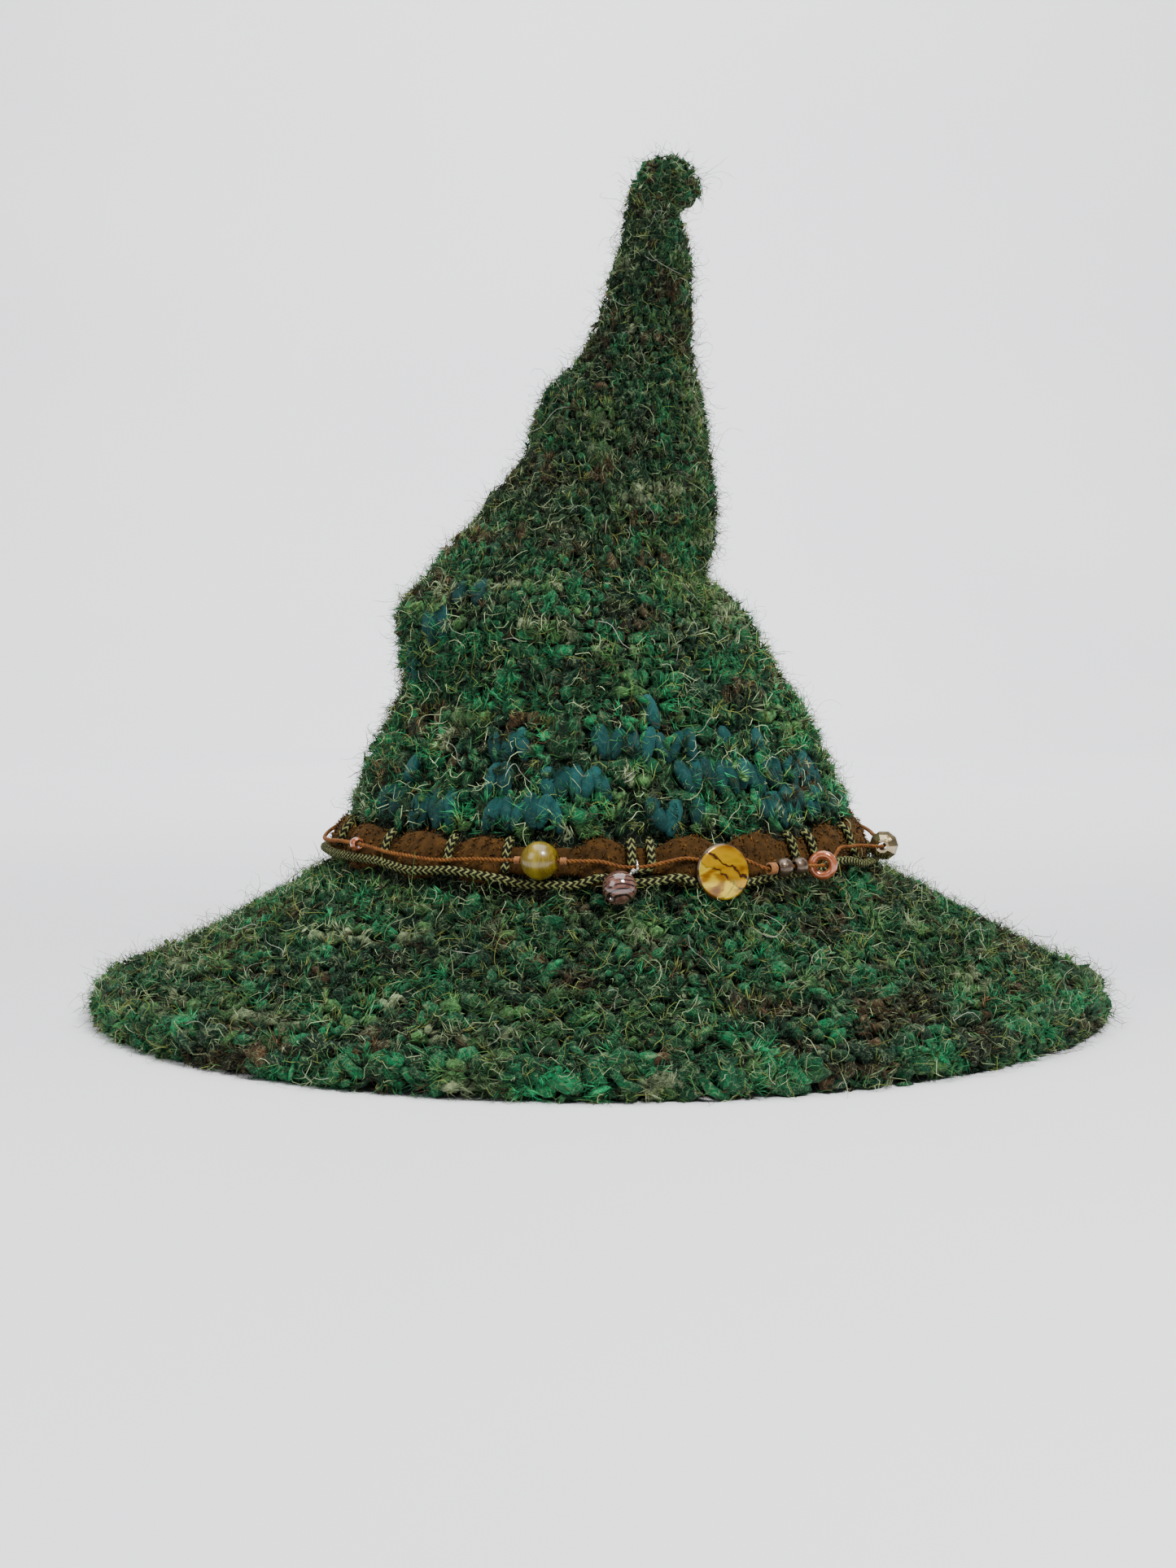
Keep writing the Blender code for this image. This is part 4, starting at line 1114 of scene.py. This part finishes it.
def add_teal(tree, wool):
    """Smooth stitches along each run, whose legs slant one way and the other by turns."""
    copies = Copies([LEG])
    for run in TEAL_RUNS:
        centre = Vector((np.interp(run.height, LOW_HEIGHT, LOW_X) * MM, 0.0, run.height * MM))
        probe = tree.ray_cast(centre, Vector((0, -1, 0)))[0]
        step = LEG_SPACING / (abs(probe.y) + 6.0 * MM) * 180.0 / pi
        angle_deg = run.start
        side = 1
        while angle_deg < run.end:
            angle_deg += step * rng.uniform(0.85, 1.2)
            side = -side
            if rng.random() > run.share:
                continue
            angle = radians(angle_deg)
            start = centre + outward(angle) * 0.13 + Vector((0, 0, rng.uniform(-1.4, 1.4) * MM))
            hit = tree.ray_cast(start, -outward(angle), 0.13)
            for spot in spots_at(hit, UP, 0, angle, LEG_SPACING):
                lean = rng.normal(0.26, 0.12) * side
                along = (spot.up + spot.up.cross(spot.normal) * lean).normalized()
                axes = (along.cross(spot.normal), spot.normal, along)
                color = TEAL * rng.uniform(0.65, 1.42)
                size = (rng.uniform(5.4, 7.2) * MM, LEG_THICK, rng.uniform(12.0, 15.5) * MM)
                at = spot.point + spot.normal * rng.uniform(0.6, 1.8) * MM
                # Each leg darkens towards its lower end: painted shade
                copies.add(0, at, axes, 0.0, size, color * 0.55, color)
    copies.join("teal_stitches", wool, GREEN_KNIT)


def build_knit():
    knop_wool = yarn_material("boucle_wool", 0.3, 0.6, combed=0.9)
    ground_wool = yarn_material("knitted_ground", 0.5, 0.9)
    teal_wool = yarn_material("teal_chenille", 0.05, 0.4, sheen=0.08, relief=0.5, sheen_tint=(0.3, 0.65, 0.6))
    fuzz_wool = yarn_material("wool_fuzz", 0.0, 0.0, sheen=0.05, relief=0.0)
    for node in ("crown", "brim"):
        add_piece(node + "_ground", ground_mesh(node), ground_wool, GREEN_KNIT, [node])
    crown_tree = surface_tree("crown")
    brim_tree = surface_tree("brim")

    marked = [(spot, in_teal(spot)) for spot in crown_spots(crown_tree)]
    knitted = [spot for spot, teal in marked if not teal]
    outer = add_knops("crown_knops", knop_wool, knitted, 0.88, -0.16, curl_share=0.05, spin=column_spin)
    bare = [(spot, yarn_at(spot, bright=0.1)) for spot, teal in marked if teal]
    add_teal(crown_tree, teal_wool)
    add_wool("crown_tufts", KNOPS, knop_wool,
             (outer, Tufts(0.4, 0.42, 0.28, column_spin)),
             (bare, Tufts(0.8, 0.55, 0.5)))
    top = brim_spots(brim_tree, BRIM_ROW, BRIM_STITCH, BRIM_START, 1)
    top = add_knops("brim_knops", knop_wool, top, 0.92, -0.14, bright=0.04, curl_share=0.08)
    rim = rim_spots(brim_tree)
    rim = add_knops("rim_knops", knop_wool, rim, 1.12, -0.08, -0.05, 0.15, 0.2, row_spin)
    add_wool("brim_tufts", KNOPS, knop_wool,
             (top, Tufts(0.45, 0.42, 0.3)),
             (rim, Tufts(0.6, 0.5, 0.4, row_spin)))
    under = brim_spots(brim_tree, UNDER_ROW, UNDER_STITCH, UNDER_START, -1)
    under = add_knops("under_brim_knops", knop_wool, under, 1.05, -0.14, brown=0.2, curl_share=0.2)
    inside = hollow_spots(crown_tree)
    add_knops("inside_knops", knop_wool, inside, 1.05, -0.15, brown=0.2, curl_share=0.1)

    low_down = [dyed_and_shaded for dyed_and_shaded in outer if dyed_and_shaded[0].point.z < COLUMNS_FROM]
    high_up = [dyed_and_shaded for dyed_and_shaded in outer if dyed_and_shaded[0].point.z >= COLUMNS_FROM]
    by_band = [dyed_and_shaded for dyed_and_shaded in top if dyed_and_shaded[0].row < 2]
    add_wool("crown_plush", [STRAND], fuzz_wool,
             (low_down, Plush(2.8, 6, 0.82, 0.25)),
             (high_up, Plush(2.9, 5, 0.78, 0.24, column_spin)),
             (bare, Plush(2.0, 6, 0.75, 0.24, high=0.9)))
    add_wool("crown_fuzz", FUZZ, fuzz_wool,
             (outer, Fibres(2.0, 4.4, 0.13, 0.3, fuzz_color)),
             (outer, Fibres(1.7, 7.0, 0.075, 0.8, fuzz_color)))
    add_wool("brim_plush", [STRAND], fuzz_wool,
             (top, Plush(2.8, 6, 0.73, 0.25)),
             (rim, Plush(2.9, 6, 0.81, 0.26, row_spin)),
             (under, Plush(0.5, 5, 0.49, 0.3)))
    add_wool("brim_fuzz", FUZZ, fuzz_wool,
             (top, Fibres(2.6, 4.8, 0.14, 0.3, fuzz_color)),
             (rim, Fibres(3.2, 6.5, 0.08, 0.8, fuzz_color)))
    add_wool("crown_hairs", HAIRS, fuzz_wool,
             (outer, Fibres(1.3, 8.5, 0.12, 0.15, hair_color, 1.0)),
             (outer, Fibres(0.2, 7.0, 0.2, 0.06, wisp_color, 0.9, column_spin)),
             (bare, Fibres(2.2, 8.0, 0.12, 0.2, hair_color, 1.1)))
    add_wool("brim_hairs", HAIRS, fuzz_wool,
             (top, Fibres(1.7, 9.5, 0.12, 0.15, hair_color, 1.0)),
             (rim, Fibres(1.8, 9.0, 0.12, 0.5, hair_color, 1.0)),
             (top + rim, Fibres(0.3, 9.0, 0.2, 0.06, wisp_color, 0.9, row_spin)),
             (by_band, Fibres(2.2, 8.0, 0.11, 0.55, hair_color, 0.8)))
    add_wool("stray_hairs", STRAYS, fuzz_wool,
             (outer, Fibres(0.08, 16.0, 0.11, 0.15, stray_color, 1.0)),
             (top + rim, Fibres(0.15, 15.0, 0.12, 0.2, stray_color, 1.0)),
             (outer + rim, Fibres(0.1, 9.5, 0.08, 0.95, stray_color)))


# The trim band


def band_outward(angle_deg):
    angle = radians(angle_deg)
    return Vector((sin(angle) / HEAD_HALF_WIDTH, -cos(angle) / HEAD_HALF_DEPTH, 0.0)).normalized()


def band_point(angle_deg, height, out):
    """A point that stands off the foot of the crown by out."""
    drop = (height - JOIN_HEIGHT) * FOOT_SLOPE
    angle = radians(angle_deg)
    foot = Vector(((HEAD_HALF_WIDTH - drop) * sin(angle), -(HEAD_HALF_DEPTH - drop) * cos(angle), height))
    return foot + band_outward(angle_deg) * out


def strip_steps():
    """The strip's sections as angle, half height and thickness: full inside a lobe, pinched at its ends."""
    start, end = FRONT_LOBES[-1].end, FRONT_LOBES[0].start + 360
    step = (end - start) / BACK_LOBE_COUNT
    starts = [start + k * step for k in range(BACK_LOBE_COUNT)]
    steps = []
    for lobe in (*FRONT_LOBES, *(Lobe(angle, angle + step, BACK_LOBE_FULLNESS) for angle in starts)):
        for along in LOBE_STEPS:
            at_end = along in (LOBE_STEPS[0], LOBE_STEPS[-1])
            swell = 0.0 if at_end else lobe.fullness * sqrt(sin(pi * along))
            half = STRIP_PINCHED_HALF + (STRIP_FULL_HALF - STRIP_PINCHED_HALF) * swell
            thick = STRIP_PINCHED_THICK + (STRIP_FULL_THICK - STRIP_PINCHED_THICK) * swell
            if lobe.fullness > 0 or at_end:
                steps.append((lobe.start + (lobe.end - lobe.start) * along, half, thick))
    first_angle, *first_sizes = steps[0]
    return [*steps, (first_angle + 360, *first_sizes)]


STRIP_ANGLES, STRIP_HALVES, STRIP_THICKS = zip(*strip_steps())


def strip_sizes(angle_deg):
    """Half height and thickness of the strip at any angle, straight between its sections."""
    angle_deg = (angle_deg - STRIP_ANGLES[0]) % 360.0 + STRIP_ANGLES[0]
    return [float(np.interp(angle_deg, STRIP_ANGLES, sizes)) for sizes in (STRIP_HALVES, STRIP_THICKS)]


def full_route(front_rows, back_heights, back_out):
    """The front's rows, then rows that take the plain way round the back, then the first row again."""
    start, end = front_rows[-1].angle, front_rows[0].angle + 360
    rows = list(front_rows)
    for k in range(1, BACK_CORD_ROWS + 1):
        angle = start + (end - start) * k / (BACK_CORD_ROWS + 1)
        rows.append(CordRow(angle, back_heights[k % 2], back_out))
    return [*rows, front_rows[0]._replace(angle=end)]


BRAID_ROWS = full_route(BRAID_ROUTE, BACK_BRAID_HEIGHTS, BACK_BRAID_OUT)
RUST_ROWS = full_route(RUST_ROUTE, BACK_RUST_HEIGHTS, BACK_RUST_OUT)


def route_point(rows, angle_deg):
    """The cord's middle at an angle. It eases from row to row, so it lies level at each."""
    angle_deg = (angle_deg - rows[0].angle) % 360.0 + rows[0].angle
    for here, there in zip(rows, rows[1:]):
        if here.angle <= angle_deg <= there.angle:
            t = (angle_deg - here.angle) / (there.angle - here.angle)
            t = t * t * (3.0 - 2.0 * t)
            height = (here.height + (there.height - here.height) * t) * MM
            return band_point(angle_deg, height, (here.out + (there.out - here.out) * t) * MM)
    raise ValueError(f"no row of the route at {angle_deg}")


def route_ring(rows, count):
    return [route_point(rows, 360.0 * k / count) for k in range(count)]


def wrap_points(angle_deg, low_end):
    """A binding's route, from behind the strip's upper edge down over its face."""
    half, thick = strip_sizes(angle_deg)
    clear = BRAID_DIAMETER / 2 + TOUCH_GAP
    top = STRIP_HEIGHT + half
    face = STRIP_GAP + thick + clear
    near_wall = clear + 0.2 * MM
    return [
        band_point(angle_deg, top + clear + 0.6 * MM, near_wall),
        band_point(angle_deg, top + clear - 0.2 * MM, (near_wall + face) * 0.55),
        band_point(angle_deg, top - 0.4 * MM, face - 0.1 * MM),
        band_point(angle_deg, STRIP_HEIGHT + half * 0.4, face),
        band_point(angle_deg, low_end, face),
    ]


def smooth_route(points, spacing, closed):
    """Evenly spaced points on a smooth curve through the route's points, and the curve's length."""
    n = len(points)
    fine = []
    for k in range(n if closed else n - 1):
        near = [(k + j) % n if closed else min(max(k + j, 0), n - 1) for j in (-1, 0, 1, 2)]
        a, b, c, d = (points[number] for number in near)
        for t in np.arange(0, 1, 0.125):
            bent = (2 * a - 5 * b + 4 * c - d) * t * t + (3 * b - a - 3 * c + d) * t**3
            fine.append(0.5 * (2 * b + (c - a) * t + bent))
    fine.append(points[0] if closed else points[-1])
    fine = np.array([p[:] for p in fine])
    along = arc_lengths(fine)
    places = np.linspace(0.0, along[-1], max(4, round(along[-1] / spacing)) + 1)
    return np.stack([np.interp(places, along, column) for column in fine.T], axis=1), along[-1]


def route_frames(spaced, closed):
    """Two directions across a cord at each of its points, the first facing away from the hat's axis."""
    if closed:
        ahead = np.roll(spaced[:-1], -1, axis=0) - np.roll(spaced[:-1], 1, axis=0)
        ahead = np.vstack([ahead, ahead[:1]])
    else:
        ahead = np.gradient(spaced, axis=0)
    ahead = unit_rows(ahead)
    out = spaced * (1 / HEAD_HALF_WIDTH**2, 1 / HEAD_HALF_DEPTH**2, 0.0)
    out = unit_rows(out - ahead * np.sum(out * ahead, axis=1)[:, None])
    return out, np.cross(ahead, out)


def roll_cord(bm, spaced, length, closed, radius_at, sides):
    """A sheet of squares rolled into a tube along a route. radius_at takes the place along it and turn."""
    uv = bm.loops.layers.uv.verify()
    out, up = route_frames(spaced, closed)
    steps = len(spaced) - 1
    made = bmesh.ops.create_grid(bm, x_segments=steps, y_segments=sides, size=0.5, calc_uvs=False)["verts"]
    for face in {f for v in made for f in v.link_faces}:
        for loop in face.loops:
            loop[uv].uv = ((loop.vert.co.x + 0.5) * length, loop.vert.co.y + 0.5)
    for v in made:
        k = min(round((v.co.x + 0.5) * steps), steps)
        turn = 2 * pi * (v.co.y + 0.5)
        open_end = not closed and k in (0, steps)
        radius = 0.0 if open_end else radius_at(k / steps * length, turn)
        v.co = Vector(spaced[k] + radius * (out[k] * cos(turn) + up[k] * sin(turn)))
    bmesh.ops.remove_doubles(bm, verts=made, dist=MERGE)


def braid_radius(place, turn):
    """The braid's relief: plump slanted stitches that meet in a V along each column."""
    column = turn / (2 * pi) * BRAID_COLUMNS
    lean = abs(column % 1.0 - 0.5) * BRAID_LEAN
    plump = 0.5 + 0.5 * cos(4 * pi * (place / BRAID_PITCH + lean))
    return BRAID_DIAMETER / 2 * (0.84 + 0.16 * plump)


def hitch_points():
    """The hitch's route: down over the strip's face, round below the braid and up again."""
    bottom = route_point(BRAID_ROWS, HITCH_ANGLE).z + BRAID_DIAMETER + 1.1 * MM
    angles = (HITCH_ANGLE - HITCH_HALF_ANGLE, HITCH_ANGLE + HITCH_HALF_ANGLE)
    left, right = (wrap_points(angle, bottom + 1.0 * MM) for angle in angles)
    face = STRIP_GAP + strip_sizes(HITCH_ANGLE)[1] + BRAID_DIAMETER / 2 + TOUCH_GAP
    sides = (-0.45 * HITCH_HALF_ANGLE, 0.45 * HITCH_HALF_ANGLE)
    middle = [band_point(HITCH_ANGLE + side, bottom - 0.6 * MM, face) for side in sides]
    return left + middle + right[::-1]


def build_braids():
    braid = braid_material()
    low_ends = [route_point(BRAID_ROWS, angle).z + BRAID_DIAMETER / 2 + TOUCH_GAP for angle in WRAP_ANGLES]
    wraps = [wrap_points(angle, low_end) for angle, low_end in zip(WRAP_ANGLES, low_ends)]
    wrap_nodes = [f"cord_wrap_{number:02d}" for number in range(1, len(WRAP_ANGLES) + 1)]
    for name, routes, closed, nodes in (
        ("braid", [route_ring(BRAID_ROWS, 72)], True, ["braided_cord"]),
        ("braid_wraps", wraps, False, wrap_nodes),
        ("braid_hitch", [hitch_points()], False, ["cord_hitch"]),
    ):
        bm = bmesh.new()
        for points in routes:
            spaced, length = smooth_route(points, BRAID_PITCH / 3.5, closed)
            roll_cord(bm, spaced, length, closed, braid_radius, BRAID_SIDES)
        add_solid(name, bm, braid, "khaki_braid", nodes)


def build_rust_cord():
    """Two plies laid round each other along the rust cord's route."""
    spaced, length = smooth_route(route_ring(RUST_ROWS, 90), RUST_PITCH / PLY_STEPS, True)
    out, up = route_frames(spaced, True)
    angles = np.linspace(0.0, 2 * pi * round(length / RUST_PITCH), len(spaced))
    ply = RUST_PLY_DIAMETER / 2
    bm = bmesh.new()
    for phase in (0.0, pi):
        swing = out * np.cos(angles + phase)[:, None] + up * np.sin(angles + phase)[:, None]
        route = spaced + swing * ply * 0.95
        route[-1] = route[0]
        roll_cord(bm, route, length, True, lambda place, turn: ply, PLY_SIDES)
    add_solid("rust_twist", bm, rust_material(), "rust_twist", ["rust_cord"])


def build_strip():
    """The pile strip: the soft lobes and their short brown pile."""
    wool = yarn_material("brown_pile", 0.0, 0.8, sheen_tint=(0.6, 0.35, 0.12))
    bm = rounded_copy("band_strip", 0.8)
    faces = [(f.calc_center_median(), f.normal.copy(), f.calc_area()) for f in bm.faces]
    mesh = closed_mesh("strip", bm)
    paint(mesh, np.tile(PILE_GROUND_SHADE, (len(mesh.vertices), 1)))
    add_piece("strip", mesh, wool, "brown_pile", ["band_strip"])
    pile = Copies([STRAND])
    weights = np.array([area for _, _, area in faces])
    for pick in rng.choice(len(faces), PILE_COUNT, p=weights / weights.sum()):
        centre, normal, area = faces[pick]
        side = Vector(rng.normal(0, 1, 3))
        side = (side - normal * side.dot(normal)).normalized()
        at = centre + side * sqrt(area) * rng.uniform(0.0, 0.7)
        z = normal + side.cross(normal) * rng.uniform(-1.3, 1.3) + side * rng.uniform(-1.0, 1.0)
        z.normalize()
        x = z.cross(side).normalized()
        clump = 0.5 + 1.3 * noise.noise(at * 750.0)
        color = PILE_COLOR * max(clump, 0.06) * rng.uniform(0.5, 1.3)
        length = rng.uniform(1.0, 2.2) * MM
        # Each pile strand darkens to its root: painted shade
        pile.add(0, at, (x, z.cross(x), z), length, (PILE_THICK,) * 3, color * 0.15, color)
    pile.join("strip_pile", wool, "brown_pile")


# Beads


def place_matrix(point, axis):
    """A turned piece's place, its own Z along axis and its own Y as upright as it can be."""
    axis = axis.normalized()
    side = UP.cross(axis).normalized()
    return Matrix.Translation(point) @ Matrix((side, axis.cross(side), axis)).transposed().to_4x4()


def rust_direction(angle_deg):
    return route_point(RUST_ROWS, angle_deg + 0.5) - route_point(RUST_ROWS, angle_deg - 0.5)


def strung_matrix(angle_deg, turn_deg=0.0):
    axis = Matrix.Rotation(radians(turn_deg), 3, "Z") @ rust_direction(angle_deg)
    return place_matrix(route_point(RUST_ROWS, angle_deg), axis)


def bead_profile(diameter, length, hole, arc_points):
    """A drilled round bead, down its outside and back up its hole, with eased edges."""
    top = atan2(length / 2, sqrt(max((diameter / 2) ** 2 - (length / 2) ** 2, (hole / 2 + 0.4 * MM) ** 2)))
    outer = []
    for k in range(arc_points):
        a = top - 2 * top * k / (arc_points - 1)
        outer.append((diameter / 2 * cos(a), length / 2 * sin(a) / sin(top)))
    inset = 0.25 * MM
    return outer + [(hole / 2, -length / 2 + inset), (hole / 2, length / 2 - inset)]


def ring_profile():
    middle = (RING_OUTER - RING_THICK) / 2
    turns = np.linspace(0, -2 * pi, 15)[:-1]
    return [(middle + RING_THICK / 2 * cos(a), RING_THICK / 2 * sin(a)) for a in turns]


def disc_profile():
    """A shallow dome with a rounded edge, and its stub."""
    half = DISC_EDGE / 2
    profile = [(0.0, half + DISC_DOME)]
    for share in np.linspace(0.08, 0.955, 12):
        profile.append((DISC_RADIUS * share, half + DISC_DOME * (1.0 - share * share)))
    for a in np.linspace(70, -90, 9):
        profile.append((DISC_RADIUS - half * (1 - cos(radians(a))), half * sin(radians(a))))
    stub = DISC_STUB_DIAMETER / 2
    return profile + [(stub, -half), (stub, -half - DISC_STUB_LENGTH), (0.0, -half - DISC_STUB_LENGTH)]


def disc_matrix():
    """The disc's place: its stub ends just off the strip, and its face tips up a little."""
    facing = band_outward(DISC_ANGLE) * cos(DISC_TIP) + Vector((0.0, 0.0, sin(DISC_TIP)))
    thick = max(strip_sizes(DISC_ANGLE + side)[1] for side in (-1.3, 1.3))
    out = STRIP_GAP + thick + TOUCH_GAP + DISC_STUB_LENGTH + DISC_EDGE / 2
    out += DISC_STUB_DIAMETER / 2 * sin(DISC_TIP)
    return place_matrix(band_point(DISC_ANGLE, DISC_HEIGHT, out), facing)


def placed(bm, matrix):
    """The shape in its place. Each point keeps where it lay before, in millimetres, as its own."""
    own = bm.verts.layers.float_vector.new("own")
    for v in bm.verts:
        v[own] = v.co / MM
    bm.transform(matrix)
    return bm


def turned(profile, steps, matrix, closed=True):
    """A turned solid in its place."""
    bm = bmesh.new()
    verts = [bm.verts.new((r, 0.0, z)) for r, z in profile]
    edges = [bm.edges.new(pair) for pair in zip(verts, verts[1:])]
    if closed:
        edges.append(bm.edges.new((verts[-1], verts[0])))
    bmesh.ops.spin(
        bm, geom=verts + edges, cent=(0, 0, 0), axis=(0, 0, 1), dvec=(0, 0, 0), angle=2 * pi, steps=steps,
        use_merge=True, use_normal_flip=False, use_duplicate=False,
    )
    bmesh.ops.remove_doubles(bm, verts=bm.verts, dist=MERGE)
    return placed(bm, matrix)


def thread_turns(radius, thread, count, pitch):
    """Turns of thread wound side by side round a cord."""
    bm = bmesh.new()
    for k in range(count):
        ring = bmesh.ops.create_circle(bm, segments=6, radius=thread / 2, cap_ends=False)["verts"]
        bmesh.ops.rotate(bm, verts=ring, cent=(0, 0, 0), matrix=Matrix.Rotation(pi / 2, 3, "X"))
        shift = (k - (count - 1) / 2) * pitch
        bmesh.ops.translate(bm, verts=ring, vec=(radius, 0.0, shift))
        edges = list({e for v in ring for e in v.link_edges})
        bmesh.ops.spin(
            bm, geom=ring + edges, cent=(0, 0, shift), axis=(0, 0, 1), dvec=(0, 0, 0), angle=2 * pi,
            steps=18, use_merge=True,
        )
    return bm


def build_beads():
    eye = route_point(RUST_ROWS, WIRE_ANGLE)
    hung = place_matrix(eye + STRIPED_HANG, -STRIPED_HANG)
    bronze = bronze_material()
    copper = copper_material()
    for name, node, matrix, diameter, length, hole, arc_points, steps, material, slot in (
        ("olive_wood_bead", "olive_bead", strung_matrix(-11.4), 13.5 * MM, 12.4 * MM, STRUNG_HOLE, 22, 40,
         olive_material(), "olive_lacquer"),
        ("mauve_striped_bead", "striped_bead", hung, 12.0 * MM, STRIPED_LENGTH, STRIPED_HOLE, 22, 40,
         striped_material(), "mauve_glass"),
        ("bronze_bead_1_pearl", "bronze_bead_1", strung_matrix(35.7), 6.9 * MM, 6.348 * MM, STRUNG_HOLE, 16,
         28, bronze, "bronze_pearl"),
        ("bronze_bead_2_pearl", "bronze_bead_2", strung_matrix(39.6), 6.3 * MM, 5.796 * MM, STRUNG_HOLE, 16,
         28, bronze, "bronze_pearl"),
        ("tiny_copper_bead", "copper_bead", strung_matrix(-58.0), 4.9 * MM, 3.92 * MM, STRUNG_HOLE, 12, 24,
         copper, "salmon_copper"),
    ):
        bead = turned(bead_profile(diameter, length, hole, arc_points), steps, matrix)
        add_solid(name, bead, material, slot, [node])
    ring = turned(ring_profile(), 40, strung_matrix(RING_ANGLE, RING_TURN_DEG))
    add_solid("copper_ring_bead", ring, copper, "salmon_copper", ["copper_ring"])
    disc = turned(disc_profile(), 56, disc_matrix(), closed=False)
    add_solid("gold_shell_disc", disc, shell_material(), "gold_shell", ["shell_disc"])
    build_wire(eye)
    # The knot beside the bronze beads, and the windings on both sides of the olive bead
    thread = thread_material()
    for name, angle, radius, thickness, pitch, nodes in (
        ("wound_thread_knot", 33.0, 1.8 * MM, 0.8 * MM, 0.72 * MM, ["thread_knot"]),
        ("thread_turns_left", -15.6, 1.05 * MM, 0.6 * MM, 0.58 * MM, ()),
        ("thread_turns_right", -7.0, 1.05 * MM, 0.6 * MM, 0.58 * MM, ()),
    ):
        turns = placed(thread_turns(radius, thickness, 4, pitch), strung_matrix(angle))
        add_solid(name, turns, thread, "brown_thread", nodes)
    crystal = crystal_material()
    for material_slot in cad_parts["faceted_bead"].material_slots:
        material_slot.material = crystal


def build_wire(eye):
    """The wire: an eye round the rust cord, a wrapped neck and the stem through the bead, which ends just
    past it.
    """
    down = STRIPED_HANG.normalized()
    along = rust_direction(WIRE_ANGLE).normalized()
    in_eye = (down - along * down.dot(along)).normalized()
    side = along.cross(in_eye)
    points = []
    for k in range(13):
        a = radians(50 + 310 * k / 12)
        points.append(eye + (in_eye * cos(a) + side * sin(a)) * WIRE_EYE)
    points.append(eye + down * (WIRE_EYE + 0.7 * MM))
    points.append(eye + STRIPED_HANG)
    points.append(eye + STRIPED_HANG + down * (STRIPED_LENGTH / 2 + 1.0 * MM))
    bm = thread_turns(WIRE_DIAMETER / 2 + 0.25 * MM, 0.5 * MM, 3, 0.55 * MM)
    bm.transform(place_matrix(eye + down * (WIRE_EYE + 0.6 * MM), -down))
    spaced, length = smooth_route(points, 0.35 * MM, False)
    roll_cord(bm, spaced, length, False, lambda place, turn: WIRE_DIAMETER / 2, 10)
    add_solid("silver_wire_eye", bm, wire_material(), "silver_wire", ["bead_wire"])


# Floor, light and camera


def link(name, data):
    obj = bpy.data.objects.new(name, data)
    bpy.context.scene.collection.objects.link(obj)
    return obj


def build_backdrop():
    """A pale floor that curves up into a backdrop."""
    bm = bmesh.new()
    bmesh.ops.create_grid(bm, x_segments=2, y_segments=60, size=1.0)
    bmesh.ops.scale(bm, verts=bm.verts, vec=(BACKDROP_HALF_WIDTH, BACKDROP_HALF_DEPTH, 1.0))
    bmesh.ops.translate(bm, verts=bm.verts, vec=(0.0, BEND_START, 0.0))
    for v in bm.verts:
        past = v.co.y - BEND_START
        turn = min(max(past / BEND_RADIUS, 0.0), pi / 2)
        if past > 0:
            v.co.y = BEND_START + BEND_RADIUS * sin(turn)
            v.co.z = BEND_RADIUS * (1 - cos(turn)) + max(past - BEND_RADIUS * pi / 2, 0.0)
    mesh = mesh_of("backdrop", bm)
    mesh.shade_smooth()
    look = Look("pale_backdrop", {"Roughness": 0.9, "Specular IOR Level": 0.1})
    tone = look.speckle(look.place(), 1.6, 2.0)
    look.wear(look.tones(tone, (0.80, 0.81, 0.84), (0.88, 0.885, 0.90), 0.3, 0.7))
    mesh.materials.append(look.material)
    link("backdrop", mesh)


def build_lights():
    """Soft lights and a pale sky, which the camera sees brighter than it lights the hat."""
    for box in SOFTBOXES:
        light = bpy.data.lights.new(box.name, "AREA")
        light.shape = "SQUARE"
        light.size = box.size
        light.energy = box.power
        lamp = link(box.name, light)
        lamp.location = box.place
        lamp.rotation_euler = (Vector(box.aim) - Vector(box.place)).to_track_quat("-Z", "Y").to_euler()
    world = bpy.data.worlds.new("studio")
    world.use_nodes = True
    sky = Nodes(world.node_tree)
    fill = sky.tree.nodes["Background"]
    sky.feed(fill, {"Color": (0.86, 0.9, 0.95), "Strength": 0.2})
    seen = sky.add("Background", {"Color": (0.86, 0.87, 0.89), "Strength": 1.45})
    direct = sky.add("LightPath").outputs["Is Camera Ray"]
    either = sky.add("MixShader", {0: direct, 1: fill.outputs[0], 2: seen.outputs[0]})
    sky.feed(sky.tree.nodes["World Output"], {"Surface": either.outputs[0]})
    bpy.context.scene.world = world


def build_camera():
    camera = bpy.data.cameras.new("camera")
    camera.lens = CAMERA_LENS
    camera.sensor_width = CAMERA_SENSOR
    holder = link("camera", camera)
    holder.location = CAMERA_AIM + Vector((0.0, -cos(CAMERA_RISE), sin(CAMERA_RISE))) * CAMERA_DISTANCE
    holder.rotation_euler = (pi / 2 - CAMERA_RISE, 0.0, 0.0)
    bpy.context.scene.camera = holder


build_camera()
build_backdrop()
build_lights()
build_knit()
build_strip()
build_braids()
build_rust_cord()
build_beads()
